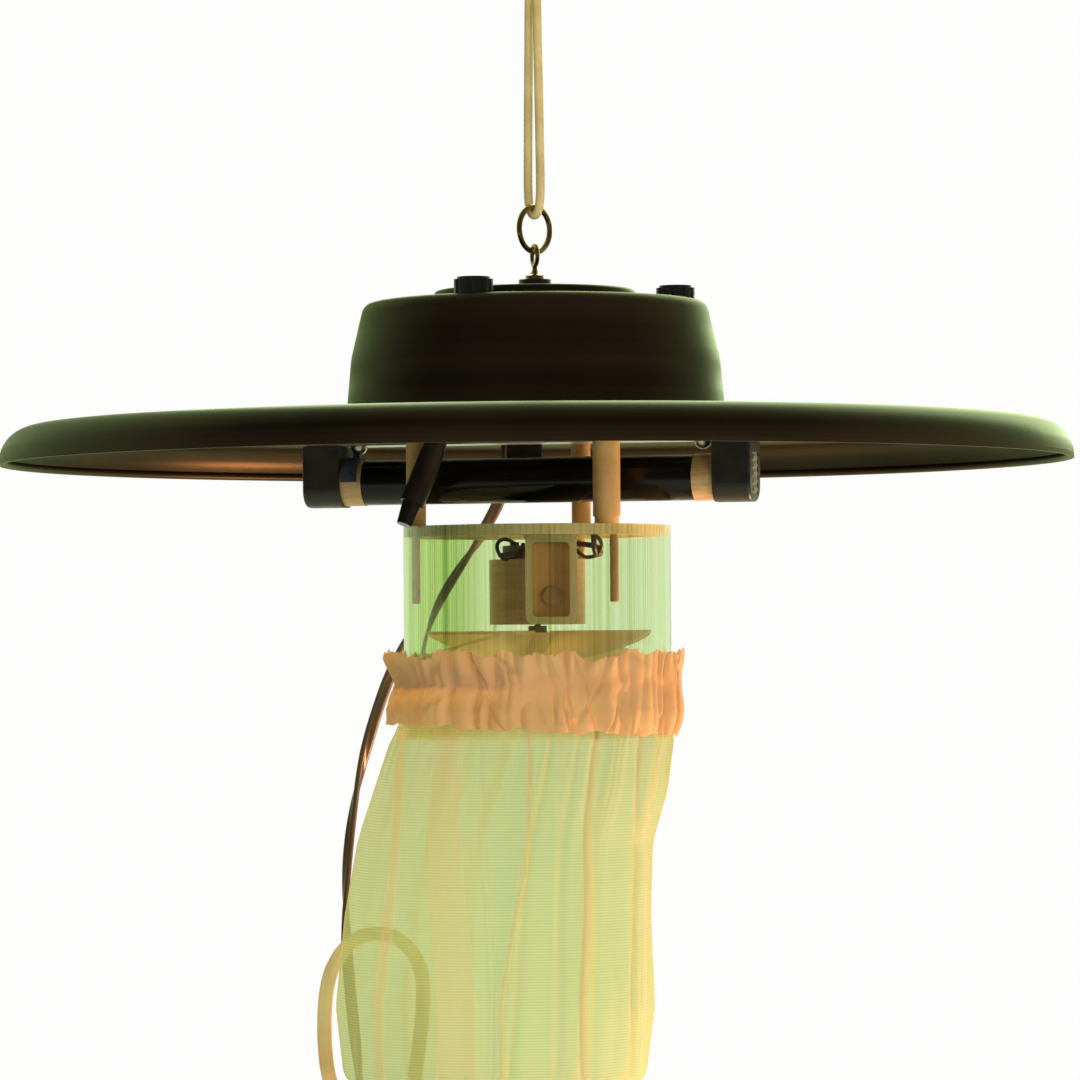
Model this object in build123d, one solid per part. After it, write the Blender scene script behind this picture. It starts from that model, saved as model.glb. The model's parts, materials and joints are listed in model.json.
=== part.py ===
from build123d import *
import math
import os

# A hanging suction light trap: a spun rain shield on a rope and swivel, a small ultraviolet tube
# under its crown, a clear cylinder with a motor and fan below, and a net bag that takes the catch.
# Everything is drawn above and below the plane of the shield's rim (height 0), and put() then
# lowers it so that the origin is the point that the rope hangs from. Sizes are in millimetres.

# ---- driving dimensions ----
HANG_HEIGHT = 185.0  # hanging point above the plane of the shield's rim
FIT = 0.05  # radial clearance of a turning fit
PAST = 1.0  # how far a cutting shape runs past what it cuts

SHIELD_R = 177.8  # a 14 inch shield
SHEET = 1.5
BRIM_TOP = 12.6
LIP_R = 12.0
HEM_R = 1.3
CROWN_FOOT_R = 63.4
CROWN_CREASE_R, CROWN_CREASE_Z = 61.3, 35.0
CROWN_SHOULDER_R = 56.9
CROWN_TOP = 53.5
SHOULDER_FILLET, CREASE_FILLET, FOOT_FILLET = 4.0, 20.0, 1.8
STEM_HOLE_GAP, STUD_HOLE_GAP = 0.4, 0.2
CAP_R, CAP_TAPER, CAP_FILLET = 34.5, 1.2, 1.6
CAP_TOP = 57.5
CAP_SHEET = 1.2

ROPE_D = 3.0
RING_R, RING_WIRE_R, RING_Z = 7.5, 0.95, 77.9
RING_TURN = 48.0  # the ring's plane, about the vertical, from +X
EYE_R, EYE_WIRE_R, EYE_Z = 3.4, 0.75, 69.2
EYE_TURN = 105.0  # the eye's plane, about the vertical, from +X
STEM_R = 1.5
BUSH_R, BUSH_TOP = 5.35, 61.1
SWIVEL_DISC_R, SWIVEL_DISC_H = 3.1, 1.3
SWIVEL_FLARE_R, SWIVEL_NECK_R = 1.35, 0.95
SWIVEL_NUT_R, THRUST_WASHER_R = 3.2, 4.0

NUT_R, NUT_H, NUT_BORE = 6.5, 5.5, 4.4  # thumb nuts
NUT_FACE_R, NUT_FACE_H = 5.4, 0.8
FLUTES, FLUTE_CIRCLE_R, FLUTE_R = 10, 7.2, 1.35
STUD_CIRCLE_R, STUD_R, STUD_OUT = 47.0, 2.0, 4.2
PILLAR_R = 3.4
STUD_ANGLES = (-115.0, 5.0, 125.0)

PLATE_R, PLATE_TOP, PLATE_T = 58.0, 16.0, 2.0
STUD_NUT_R, STUD_NUT_H = 3.9, 3.2
ROD_NUT_R, ROD_NUT_H = 3.1, 2.4
GROMMET_R, GROMMET_FLANGE_R, GROMMET_FLANGE_T, GROMMET_UP = 4.0, 6.0, 2.2, 1.5
LEAD_HOLE_R = 1.0

# boards and boxes: length, width, height
TERMINAL, TERMINAL_GAP = (16.0, 9.0, 10.0), 1.5
BOARD, BOARD_GAP = (62.0, 34.0, 1.6), 5.0
BOARD_X, BOARD_Y = 5.0, -22.0
BOARD_FOOT_R, BOARD_FOOT_X, BOARD_FOOT_Y = 2.2, 27.0, 13.0
CORE, CORE_X, CORE_Y = (24.0, 20.0, 16.0), 17.0, -25.0
CAN_R, CAN_H, CANS_X, CANS_Y = 4.0, 12.0, (-3.0, -14.0), -16.0
MODULE, MODULE_X, MODULE_Y, MODULE_FILLET = (12.0, 20.0, 12.0), -4.0, 24.0, 1.0

LAMP_X, LAMP_Z, LAMP_TURN = -2.2, -5.5, -14.4  # centre, and turn about the vertical
LAMP_GLASS_R, LAMP_GLASS_T, LAMP_CAP_R = 7.6, 0.8, 7.8
LAMP_HALF, LAMP_CAP_L, LAMP_CAP_FILLET = 68.0, 11.5, 0.8
PIN_R, PIN_L, PIN_OFFSET = 1.15, 7.0, 2.5
HOLDER_IN, HOLDER_OUT = 63.7, 76.5  # along the lamp, from its middle
HOLDER_W, HOLDER_BOTTOM = 17.5, -13.8
HOLDER_FOOT_FILLET, HOLDER_FILLET = 6.0, 1.2
POCKET_GAP, POCKET_END_GAP, CONTACT_R, CONTACT_END_GAP = 0.08, 0.1, 4.0, 0.3
WINDOW_DEPTH, WINDOW_W, WINDOW_H, WINDOW_UP = 0.9, 9.0, 14.0, 1.0  # the holders' end windows
CARRIER_T, CARRIER_IN = 0.6, 0.6
RIBS, RIB_PITCH, RIB_W, RIB_H, RIB_IN = 5, 2.6, 6.0, 1.2, 0.15
RAIL_BOTTOM, RAIL_T, RAIL_W, RAIL_FILLET = 6.6, 1.2, 15.0, 3.0
RAIL_SPACER_X, RAIL_SPACER_R = 33.0, 4.0
RAIL_SCREW_X, RAIL_SCREW_R = 59.0, 2.8
CLIP_LEFT, CLIP_RIGHT, CLIP_GAP, CLIP_T = -63.0, -57.8, 0.1, 0.8
STALK_X, STALK_Y, STALK_L, STALK_W, STALK_GAP, STALK_IN = -61.2, 5.0, 2.0, 3.0, 0.4, 2.0

# the photoswitch's sleeve and nose: points down its middle, then its radius at each
SWITCH_LINE = [
    (-30.5, -15.5, 14.0),
    (-35.5, -16.0, 0.0),
    (-41.0, -19.0, -13.5),
    (-43.6, -20.6, -20.6),
]
SLEEVE_RADII, NOSE_RADII = (3.2, 4.0, 3.9), (3.2, 2.5)

CYL_R, CYL_WALL = 44.45, 1.6
CYL_TOP, CYL_BOTTOM = -21.0, -91.0
DECK_T, DECK_RING_W, DECK_BEAM_W = 3.5, 7.4, 18.0
ROD_CIRCLE_R, ROD_R, ROD_UP, ROD_FILLET = 40.3, 1.4, 4.0, 0.5
ROD_ANGLES = {"left": 188.0, "rear": 68.0, "front": -52.0}
ROD_BOTTOM = -46.5
POST_R, FRONT_POST_R, FRONT_POST_SHIFT = 3.25, 4.5, -2.0
FRONT_FOOT_R, FRONT_FOOT_H = 4.0, 2.4  # the narrower foot of the front post
LEAD_TOP = (18.3, -32.4)  # where the motor's leads enter the front post

BRACKET_X, BRACKET_W, BRACKET_WALL = 4.5, 16.7, 2.3
BRACKET_FRONT, BRACKET_BACK, BRACKET_BOTTOM = -28.5, -18.6, -53.5
BRACKET_FILLET, BRACKET_WINDOW_FILLET = 2.4, 1.4
CLAMP_BACK, CLAMP_SHORTER = -14.0, 1.0
INSERT_T, INSERT_GAP, INSERT_FILLET = 1.5, 0.1, 1.5  # the plate in the bracket's window
BOLT_X, BOLT_Z, BOLT_R, BOLT_H, BOLT_FILLET = 4.9, -44.5, 3.3, 1.8, 0.7
MOTOR_R, MOTOR_TOP, MOTOR_BOTTOM = 15.9, -32.0, -51.0
MOTOR_WALL, MOTOR_FLANGE_T, MOTOR_MOUTH_R = 0.8, 2.5, 3.0
MAGNET_BORE, MAGNET_UP, MAGNET_DOWN, ROTOR_R = 11.6, 2.0, 3.0, 10.4
SHAFT_R, SHAFT_UP, SHAFT_IN_HUB = 1.0, 2.5, 4.0
HEAD_R, HEAD_H, HEAD_ROOF = 11.5, 4.6, 1.6  # the motor's brush holder
TAB, TAB_X, TAB_Y, TAB_UP = (3.0, 1.0, 1.8), 7.5, -4.0, 0.5
LEAD_D = 1.8
FAN_R, FAN_TOP, FAN_BOTTOM = 38.0, -55.6, -68.4
FAN_BLADES, FAN_LEAD_ANGLE, FAN_SWEEP, FAN_SECTIONS = 4, -12.0, 80.0, 5
FAN_HUB_R, FAN_HUB_LOWER, BLADE_ROOT, BLADE_T = 5.0, 0.6, 4.0, 1.1
COLLAR_R, COLLAR_GAP = 3.1, 0.5

CUFF_TOP, CUFF_BOTTOM, CUFF_IN_R = -62.0, -90.0, 45.9
ELASTIC_TOP, ELASTIC_BOTTOM, ELASTIC_GAP = -70.0, -76.0, 0.3
NECK_X, NECK_Z, NECK_R = -14.0, -236.0, 6.5
NET_T, MOUTH_H = 1.0, 2.0
TAPE_D, TIE_KNOT_R = 3.0, 3.8
WRAP_R, WRAP_WIRE_R, WRAP_INSIDE_R = 8.4, 1.5, 6.8

CABLE_D = 4.0
CABLE_X, CABLE_Y = -10.0, 46.0  # where the power cable leaves the chassis plate
COIL_R, COIL_BUNDLE_R = 22.0, 6.2
COIL_X, COIL_Y, COIL_Z = -41.0, 118.0, -250.0
COIL_TIE_TURN, COIL_TIE_W, COIL_TIE_T, COIL_TIE_GAP = 20.0, 6.0, 1.2, 0.05
PLUG_R, PLUG_BODY_L, PLUG_FILLET = 5.0, 20.0, 1.2
BARREL_R, BARREL_L, BARREL_BORE = 2.75, 9.5, 1.05
WASHER_T, NUT_T, STEM_OUT = 1.0, 2.4, 1.5
SWIVEL_STEM_BOTTOM = CROWN_TOP - SHEET - WASHER_T - NUT_T - STEM_OUT

# ---- cords' routes and the bag's outline ----
KNOT_Z, KNOT_R = 163.0, 4.8
LOOP_TOP = HANG_HEIGHT + ROPE_D / 2
ROPE_LOOP = [
    (1.6, 0.0, KNOT_Z + 3.6),
    (6.6, 0.4, KNOT_Z + 9.5),
    (8.4, 0.8, KNOT_Z + 16.5),
    (4.6, 0.4, LOOP_TOP + 0.8),
    (-4.6, -0.4, LOOP_TOP + 0.8),
    (-8.4, -0.8, KNOT_Z + 16.5),
    (-6.6, -0.4, KNOT_Z + 9.5),
    (-1.6, 0.0, KNOT_Z + 3.6),
]
# radius and height round the cuff's section
CUFF_OUTLINE = [
    (CUFF_IN_R, CUFF_BOTTOM),
    (47.9, CUFF_BOTTOM),
    (49.4, -84.0),
    (48.0, -76.5),
    (47.4, -73.0),
    (48.1, -69.5),
    (49.6, CUFF_TOP),
    (CUFF_IN_R, CUFF_TOP),
]
# height, centre x, half width, half depth of the bag's outside
BAG_SHAPE = [
    (CUFF_BOTTOM, -1.2, 46.9, 46.9),
    (-108.0, -5.0, 48.1, 47.6),
    (-126.0, -10.2, 48.2, 48.2),
    (-150.0, -12.8, 50.0, 49.0),
    (-180.0, -13.8, 52.2, 50.0),
    (-203.0, -14.0, 49.5, 46.5),
    (-220.0, -14.0, 32.0, 30.0),
    (NECK_Z + 4.0, NECK_X, 9.0, 9.0),
    (NECK_Z, NECK_X, NECK_R, NECK_R),
    (NECK_Z - 8.0, NECK_X, 9.5, 8.5),
    (NECK_Z - 22.0, NECK_X, 14.0, 9.0),
]
BAG_FLOOR = 7  # the bag is hollow down to this row
TIE_X, TIE_Y = NECK_X - 10.8, 6.2  # the bow's knot, at the back left of the bag's neck
TAPE_ROUTE = [
    (TIE_X - 2.6, TIE_Y + 2.6, NECK_Z + 1.5),
    (-36.0, 22.0, -229.0),
    (-44.0, 39.5, -212.0),
    (-40.6, 50.0, -191.0),
    (-39.6, 54.6, -171.0),
    (-48.6, 56.6, -159.0),
    (-62.4, 56.6, -158.6),
    (-72.4, 55.6, -170.0),
    (-74.6, 53.0, -190.0),
    (-72.2, 46.0, -212.0),
    (-58.0, 33.0, -232.0),
    (-40.0, 22.0, -243.0),
    (-33.5, 17.0, -252.0),
    (-32.0, 15.0, -267.0),
]
CABLE_ROUTE = [
    (CABLE_X, CABLE_Y, PLATE_TOP + 1.5),
    (CABLE_X, CABLE_Y, 2.0),
    (-11.6, 50.6, -9.0),
    (-19.0, 61.0, -22.0),
    (-30.6, 76.0, -36.0),
    (-42.6, 92.0, -51.0),
    (-52.0, 104.0, -69.0),
    (-59.6, 112.4, -90.0),
    (-65.2, 117.2, -112.0),
    (-68.6, 119.6, -135.0),
    (-69.4, 120.0, -160.0),
    (-67.6, 119.4, -185.0),
    (-65.0, 118.4, -209.0),
    (-63.4, COIL_Y, -230.0),
    (COIL_X - COIL_R, COIL_Y, COIL_Z),
]
TAIL_ROUTE = [
    (COIL_X + COIL_R, COIL_Y, COIL_Z - 2.0),
    (COIL_X + COIL_R + 1.6, COIL_Y - 3.4, COIL_Z - 13.0),
    (COIL_X + COIL_R + 2.0, COIL_Y - 6.0, COIL_Z - 24.0),
    (COIL_X + COIL_R + 2.0, COIL_Y - 6.0, COIL_Z - 34.0),
]
LEAD_ROUTE = [
    (*LEAD_TOP, CYL_TOP - 1.5),
    (*LEAD_TOP, -28.5),
    (19.2, -26.5, -31.2),
    (21.0, -19.5, -30.4),
    (20.0, -12.0, -27.9),
    (14.5, -6.2, -27.0),
    (9.6, -4.2, MOTOR_TOP + 5.6),
]


def put(node, shape):
    """Writes one sub-part, lowered so that the hanging point is the origin."""
    os.makedirs("parts", exist_ok=True)
    export_step(Pos(0, 0, -HANG_HEIGHT) * shape, f"parts/{node}.step")


def on_circle(radius, angle, z=0.0):
    """A point on a circle about the trap's axis."""
    turn = math.radians(angle)
    return (radius * math.cos(turn), radius * math.sin(turn), z)


def rod(radius, low, high, x=0.0, y=0.0):
    """An upright round bar between two heights."""
    return Pos(x, y, (low + high) / 2) * Cylinder(radius, high - low)


def hole(radius, low, high, x=0.0, y=0.0):
    """A round bar that cuts an upright hole through whatever lies between two heights."""
    return rod(radius, low - PAST, high + PAST, x, y)


def tube(radius, bore, low, high, x=0.0, y=0.0):
    """An upright tube between two heights."""
    return rod(radius, low, high, x, y) - hole(bore, low, high, x, y)


def box_on(low, size, x, y):
    """A box of (length, width, height) that stands on a height, centred on x and y."""
    return Pos(x, y, low + size[2] / 2) * Box(*size)


def turned(outline):
    """A solid turned about the vertical axis from a closed outline of (radius, height) points."""
    return revolve(Plane.XZ * make_face(Polyline(*outline, close=True)), Axis.Z)


def offset_corners(points, thickness):
    """The corners of a line that runs a thickness to the right of a polyline."""
    directions = [(Vector(*b) - Vector(*a)).normalized() for a, b in zip(points, points[1:])]
    normals = [Vector(d.Y, -d.X) for d in directions]
    moved = [Vector(*points[0]) + normals[0] * thickness]
    for point, n1, n2 in zip(points[1:-1], normals, normals[1:]):
        moved.append(Vector(*point) + (n1 + n2) * (thickness / (1 + n1.dot(n2))))
    moved.append(Vector(*points[-1]) + normals[-1] * thickness)
    return [(v.X, v.Y) for v in moved]


def spun_shell(points, radii, thickness):
    """The section of a spun sheet: the outer line, with a radius at each inner corner of it."""
    inner = offset_corners(points, thickness)
    inner_radii = []
    for a, b, c, radius in zip(points, points[1:], points[2:], radii):
        cross = (b[0] - a[0]) * (c[1] - b[1]) - (b[1] - a[1]) * (c[0] - b[0])
        inner_radii.append(radius - thickness if cross < 0 else radius + thickness)
    outer_line = FilletPolyline(*points, radius=radii)
    inner_line = FilletPolyline(*inner, radius=inner_radii)
    ends = [Line(points[0], inner[0]), Line(points[-1], inner[-1])]
    return make_face([outer_line, inner_line, *ends])


def bend_radii(points):
    """The radius of each corner of a cord's route: as large as its two runs allow."""
    radii = []
    for a, b, c in zip(points, points[1:], points[2:]):
        before, after = Vector(*b) - Vector(*a), Vector(*c) - Vector(*b)
        half = math.radians(before.get_angle(after)) / 2
        radii.append(0.45 * min(before.length, after.length) / math.tan(half))
    return radii


def cord(name, points, diameter, radii=None):
    """A round cord: straight runs joined by tangent arcs."""
    radii = radii or bend_radii(points)
    path = FilletPolyline(*points, radius=radii)
    section = Plane(path @ 0, z_dir=path % 0) * Circle(diameter / 2)
    solid = sweep(section, path=path)
    area = math.pi * diameter**2 / 4
    print(name, "radii", [round(r, 1) for r in radii], "length", round(path.length, 1))
    print(name, "volume over section times length", round(solid.volume / (area * path.length), 4))
    return solid


def along_lamp(shape):
    """Places a shape drawn along X about the origin on the lamp's own axis."""
    return Pos(LAMP_X, 0, LAMP_Z) * Rot(0, 0, LAMP_TURN) * shape


def bar_along_x(radius, start, end):
    """A round bar on the X axis from start to end."""
    return Pos((start + end) / 2, 0, 0) * Rot(0, 90, 0) * Cylinder(radius, abs(end - start))


# ---- rope, ring and swivel ----
def rope_points():
    """The rope's two strands: down from the knot, round the ring's wire and up again."""
    turn = math.radians(RING_TURN)
    side_x, side_y = math.sin(turn), -math.cos(turn)
    wire_top = RING_Z + RING_R
    bight = RING_WIRE_R + ROPE_D / 2 + 0.3
    down = [(1.6, KNOT_Z - 3.5), (bight, wire_top + 18.0), (bight, wire_top - bight)]
    offsets = down + [(-across, z) for across, z in reversed(down)]
    return [(across * side_x, across * side_y, z) for across, z in offsets]


def make_rope():
    knot = Pos(0, 0, KNOT_Z) * Sphere(KNOT_R)
    strands = rope_points()
    bight = (Vector(*strands[2]) - Vector(*strands[3])).length / 2 - 0.02
    radii = bend_radii(strands)
    radii[1] = radii[2] = bight
    put("rope_knot", knot)
    put("rope_strands", cord("rope strands", strands, ROPE_D, radii) - knot)
    put("rope_loop", cord("rope loop", ROPE_LOOP, ROPE_D) - knot)


def make_swivel():
    ring = Pos(0, 0, RING_Z) * Rot(0, 0, RING_TURN) * Rot(90, 0, 0) * Torus(RING_R, RING_WIRE_R)
    put("hanging_ring", ring)

    disc_bottom = BUSH_TOP + FIT
    disc_top = disc_bottom + SWIVEL_DISC_H
    neck_z = EYE_Z - EYE_R
    foot = (SWIVEL_DISC_R - 0.2, disc_top)
    flare = ThreePointArc(foot, (SWIVEL_FLARE_R, disc_top + 1.0), (SWIVEL_NECK_R, neck_z))
    outline = [
        flare,
        Line((SWIVEL_NECK_R, neck_z), (0, neck_z)),
        Line((0, neck_z), (0, SWIVEL_STEM_BOTTOM)),
        Line((0, SWIVEL_STEM_BOTTOM), (STEM_R, SWIVEL_STEM_BOTTOM)),
        Line((STEM_R, SWIVEL_STEM_BOTTOM), (STEM_R, disc_bottom)),
        Line((STEM_R, disc_bottom), (SWIVEL_DISC_R, disc_bottom)),
        Line((SWIVEL_DISC_R, disc_bottom), (SWIVEL_DISC_R, disc_top)),
        Line((SWIVEL_DISC_R, disc_top), foot),
    ]
    stem = revolve(Plane.XZ * make_face(outline), Axis.Z)
    eye = Pos(0, 0, EYE_Z) * Rot(0, 0, EYE_TURN) * Rot(90, 0, 0) * Torus(EYE_R, EYE_WIRE_R)
    put("swivel_eye", stem + eye)

    nut_top = CROWN_TOP - SHEET - WASHER_T - FIT
    nut = Pos(0, 0, nut_top - NUT_T) * extrude(RegularPolygon(SWIVEL_NUT_R, 6), NUT_T)
    put("swivel_nut", nut - hole(STEM_R, nut_top - NUT_T, nut_top))
    under = CROWN_TOP - SHEET
    thrust_washer = tube(THRUST_WASHER_R, STEM_R + FIT, under - WASHER_T, under)
    bush = tube(BUSH_R, STEM_R + FIT, CAP_TOP, BUSH_TOP)
    put("swivel_washers", Compound([thrust_washer, bush]))


# ---- rain shield ----
def make_shield():
    line = [
        (STEM_R + STEM_HOLE_GAP, CROWN_TOP),
        (CROWN_SHOULDER_R, CROWN_TOP),
        (CROWN_CREASE_R, CROWN_CREASE_Z),
        (CROWN_FOOT_R, BRIM_TOP),
        (SHIELD_R, BRIM_TOP),
        (SHIELD_R, 0.0),
    ]
    section = spun_shell(line, [SHOULDER_FILLET, CREASE_FILLET, FOOT_FILLET, LIP_R], SHEET)
    hem = Pos(SHIELD_R - HEM_R, HEM_R) * Circle(HEM_R)
    shell = revolve(Plane.XZ * (section + hem), Axis.Z)
    for angle in STUD_ANGLES:
        x, y, _ = on_circle(STUD_CIRCLE_R, angle)
        shell -= hole(STUD_R + STUD_HOLE_GAP, CROWN_TOP - SHEET, CROWN_TOP, x, y)
    put("rain_shield", shell)

    cap_line = [(STEM_R + FIT, CAP_TOP), (CAP_R - CAP_TAPER, CAP_TOP), (CAP_R, CROWN_TOP)]
    cap = revolve(Plane.XZ * spun_shell(cap_line, [CAP_FILLET], CAP_SHEET), Axis.Z)
    put("top_cap", cap - rod(CAP_R + PAST, CROWN_TOP - CAP_SHEET - PAST, CROWN_TOP))


def make_thumb_nuts():
    """Three fluted nuts on the crown, and the hexagonal pillars with studs that they hold."""
    grip = Circle(NUT_R)
    for k in range(FLUTES):
        grip -= Pos(*on_circle(FLUTE_CIRCLE_R, 360 / FLUTES * k)[:2]) * Circle(FLUTE_R)
    bottom = CROWN_TOP + FIT
    top = bottom + NUT_H
    pillars = []
    pillar_top = CROWN_TOP - SHEET
    for letter, angle in zip("abc", STUD_ANGLES):
        x, y, _ = on_circle(STUD_CIRCLE_R, angle)
        knob = Pos(x, y, bottom) * extrude(grip, NUT_H - NUT_FACE_H)
        knob += rod(NUT_FACE_R, top - NUT_FACE_H, top, x, y)
        knob -= rod(STUD_R + FIT, bottom - PAST, bottom + NUT_BORE, x, y)
        put(f"thumb_nut_{letter}", knob)
        pillar = Pos(x, y, PLATE_TOP) * extrude(RegularPolygon(PILLAR_R, 6), pillar_top - PLATE_TOP)
        pillar += rod(STUD_R, pillar_top - 1, bottom + STUD_OUT, x, y)
        pillar += rod(STUD_R, PLATE_TOP - PLATE_T - STUD_OUT, PLATE_TOP + 1, x, y)
        pillars.append(pillar)
    put("stud_pillars", Compound(pillars))


def make_chassis_nuts():
    """Nuts under the plate on the pillars' studs, and above it on the three rods."""
    low = PLATE_TOP - PLATE_T
    nuts = []
    for angle in STUD_ANGLES:
        x, y, _ = on_circle(STUD_CIRCLE_R, angle)
        nut = Pos(x, y, low - STUD_NUT_H) * extrude(RegularPolygon(STUD_NUT_R, 6), STUD_NUT_H)
        nuts.append(nut - hole(STUD_R, low - STUD_NUT_H, low, x, y))
    for angle in ROD_ANGLES.values():
        x, y, _ = on_circle(ROD_CIRCLE_R, angle)
        nut = Pos(x, y, PLATE_TOP) * extrude(RegularPolygon(ROD_NUT_R, 6), ROD_NUT_H)
        nuts.append(nut - hole(ROD_R, PLATE_TOP, PLATE_TOP + ROD_NUT_H, x, y))
    put("chassis_nuts", Compound(nuts))


# ---- electronics under the crown ----
def make_chassis():
    low = PLATE_TOP - PLATE_T
    plate = rod(PLATE_R, low, PLATE_TOP)
    for angle in STUD_ANGLES:
        plate -= hole(STUD_R, low, PLATE_TOP, *on_circle(STUD_CIRCLE_R, angle)[:2])
    for angle in ROD_ANGLES.values():
        plate -= hole(ROD_R, low, PLATE_TOP, *on_circle(ROD_CIRCLE_R, angle)[:2])
    plate -= hole(GROMMET_R, low, PLATE_TOP, CABLE_X, CABLE_Y)
    plate -= hole(LEAD_HOLE_R, low, PLATE_TOP, *LEAD_TOP)
    put("chassis_plate", plate)

    flange_bottom = low - GROMMET_FLANGE_T
    grommet = tube(GROMMET_R, CABLE_D / 2, flange_bottom, PLATE_TOP + GROMMET_UP, CABLE_X, CABLE_Y)
    grommet += tube(GROMMET_FLANGE_R, CABLE_D / 2, flange_bottom, low, CABLE_X, CABLE_Y)
    put("cable_grommet", grommet)
    put("terminal_block", box_on(PLATE_TOP + TERMINAL_GAP, TERMINAL, CABLE_X, CABLE_Y))

    board_z = PLATE_TOP + BOARD_GAP
    put("inverter_board", box_on(board_z, BOARD, BOARD_X, BOARD_Y))
    feet = []
    for side in (-1, 1):
        for end in (-1, 1):
            x, y = BOARD_X + side * BOARD_FOOT_X, BOARD_Y + end * BOARD_FOOT_Y
            feet.append(rod(BOARD_FOOT_R, PLATE_TOP, board_z, x, y))
        spacer_z = (RAIL_BOTTOM + RAIL_T - LAMP_Z, low - LAMP_Z)
        feet.append(along_lamp(rod(RAIL_SPACER_R, *spacer_z, side * RAIL_SPACER_X)))
    put("chassis_spacers", Compound(feet))

    top = board_z + BOARD[2]
    put("inverter_transformer", box_on(top, CORE, CORE_X, CORE_Y))
    put("capacitors", Compound([rod(CAN_R, top, top + CAN_H, x, CANS_Y) for x in CANS_X]))
    module = box_on(low - MODULE[2], MODULE, MODULE_X, MODULE_Y)
    put("control_module", fillet(module.edges().filter_by(Axis.Z), MODULE_FILLET))


# ---- ultraviolet tube lamp and its holders ----
def make_lamp():
    glass_end = LAMP_HALF - LAMP_CAP_L
    glass = bar_along_x(LAMP_GLASS_R, -glass_end, glass_end)
    glass -= bar_along_x(LAMP_GLASS_R - LAMP_GLASS_T, -glass_end - PAST, glass_end + PAST)
    put("lamp_tube", along_lamp(glass))
    caps, pins = [], []
    for side in (-1, 1):
        cap = bar_along_x(LAMP_CAP_R, side * glass_end, side * LAMP_HALF)
        cap = fillet(cap.edges().sort_by(Axis.X)[0 if side < 0 else -1], LAMP_CAP_FILLET)
        caps.append(along_lamp(cap))
        for up in (-PIN_OFFSET, PIN_OFFSET):
            pin = bar_along_x(PIN_R, side * LAMP_HALF, side * (LAMP_HALF + PIN_L))
            pins.append(along_lamp(Pos(0, 0, up) * pin))
    put("lamp_caps", Compound(caps))
    put("lamp_pins", Compound(pins))


def make_holders():
    holders, contacts = [], []
    top = RAIL_BOTTOM - LAMP_Z
    bottom = HOLDER_BOTTOM - LAMP_Z
    for side in (-1, 1):
        middle = side * (HOLDER_IN + HOLDER_OUT) / 2
        block = Pos(middle, 0, (top + bottom) / 2)
        block *= Box(HOLDER_OUT - HOLDER_IN, HOLDER_W, top - bottom)
        lower = block.edges().filter_by(Axis.X).group_by(Axis.Z)[0]
        block = fillet(lower, HOLDER_FOOT_FILLET)
        outer = block.faces().sort_by(Axis.X)[0 if side < 0 else -1]
        block = fillet(outer.edges(), HOLDER_FILLET)
        cap_end = LAMP_HALF + POCKET_END_GAP
        block -= bar_along_x(LAMP_CAP_R + POCKET_GAP, side * (HOLDER_IN - PAST), side * cap_end)
        pin_end = LAMP_HALF + PIN_L + CONTACT_END_GAP
        block -= bar_along_x(CONTACT_R, side * HOLDER_IN, side * pin_end)
        block -= Pos(side * HOLDER_OUT, 0, WINDOW_UP) * Box(2 * WINDOW_DEPTH, WINDOW_W, WINDOW_H)
        holders.append(along_lamp(block))
        carrier = Box(CARRIER_T, WINDOW_W, WINDOW_H)
        carrier = Pos(side * (HOLDER_OUT - CARRIER_IN), 0, WINDOW_UP) * carrier
        for k in range(RIBS):
            rib_z = WINDOW_UP + RIB_PITCH * (k - (RIBS - 1) / 2)
            rib_place = Pos(side * (HOLDER_OUT - RIB_IN), 0, rib_z)
            carrier += rib_place * Box(CARRIER_T, RIB_W, RIB_H)
        contacts.append(along_lamp(carrier))
    put("lamp_holders", Compound(holders))
    put("holder_contacts", Compound(contacts))

    under_rail = RAIL_BOTTOM - LAMP_Z
    rail = Pos(0, 0, under_rail + RAIL_T / 2) * Box(2 * HOLDER_OUT, RAIL_W, RAIL_T)
    rail = fillet(rail.edges().filter_by(Axis.Z), RAIL_FILLET)
    screws = []
    for side in (-1, 1):
        place = Pos(side * RAIL_SCREW_X, 0, under_rail)
        lower_half = rod(RAIL_SCREW_R, -RAIL_SCREW_R, 0)
        head = Sphere(RAIL_SCREW_R) & lower_half
        screws.append(along_lamp(place * head))
    put("lamp_rail", along_lamp(rail))
    put("rail_screws", Compound(screws))

    clip_in = LAMP_CAP_R + CLIP_GAP
    hoop = bar_along_x(clip_in + CLIP_T, CLIP_LEFT, CLIP_RIGHT)
    hoop -= bar_along_x(clip_in, CLIP_LEFT - PAST, CLIP_RIGHT + PAST)
    hoop &= Pos(0, 0, LAMP_HALF) * Box(4 * LAMP_HALF, LAMP_HALF, 2 * LAMP_HALF)  # its upper half
    stalk_bottom = clip_in + STALK_GAP - STALK_IN
    stalk_size = (STALK_L, STALK_W, under_rail - stalk_bottom)
    stalk = box_on(stalk_bottom, stalk_size, STALK_X, STALK_Y)
    stalk -= bar_along_x(clip_in + CLIP_GAP, CLIP_LEFT - PAST, CLIP_RIGHT + PAST)
    put("tube_clip", along_lamp(hoop + stalk))


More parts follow.
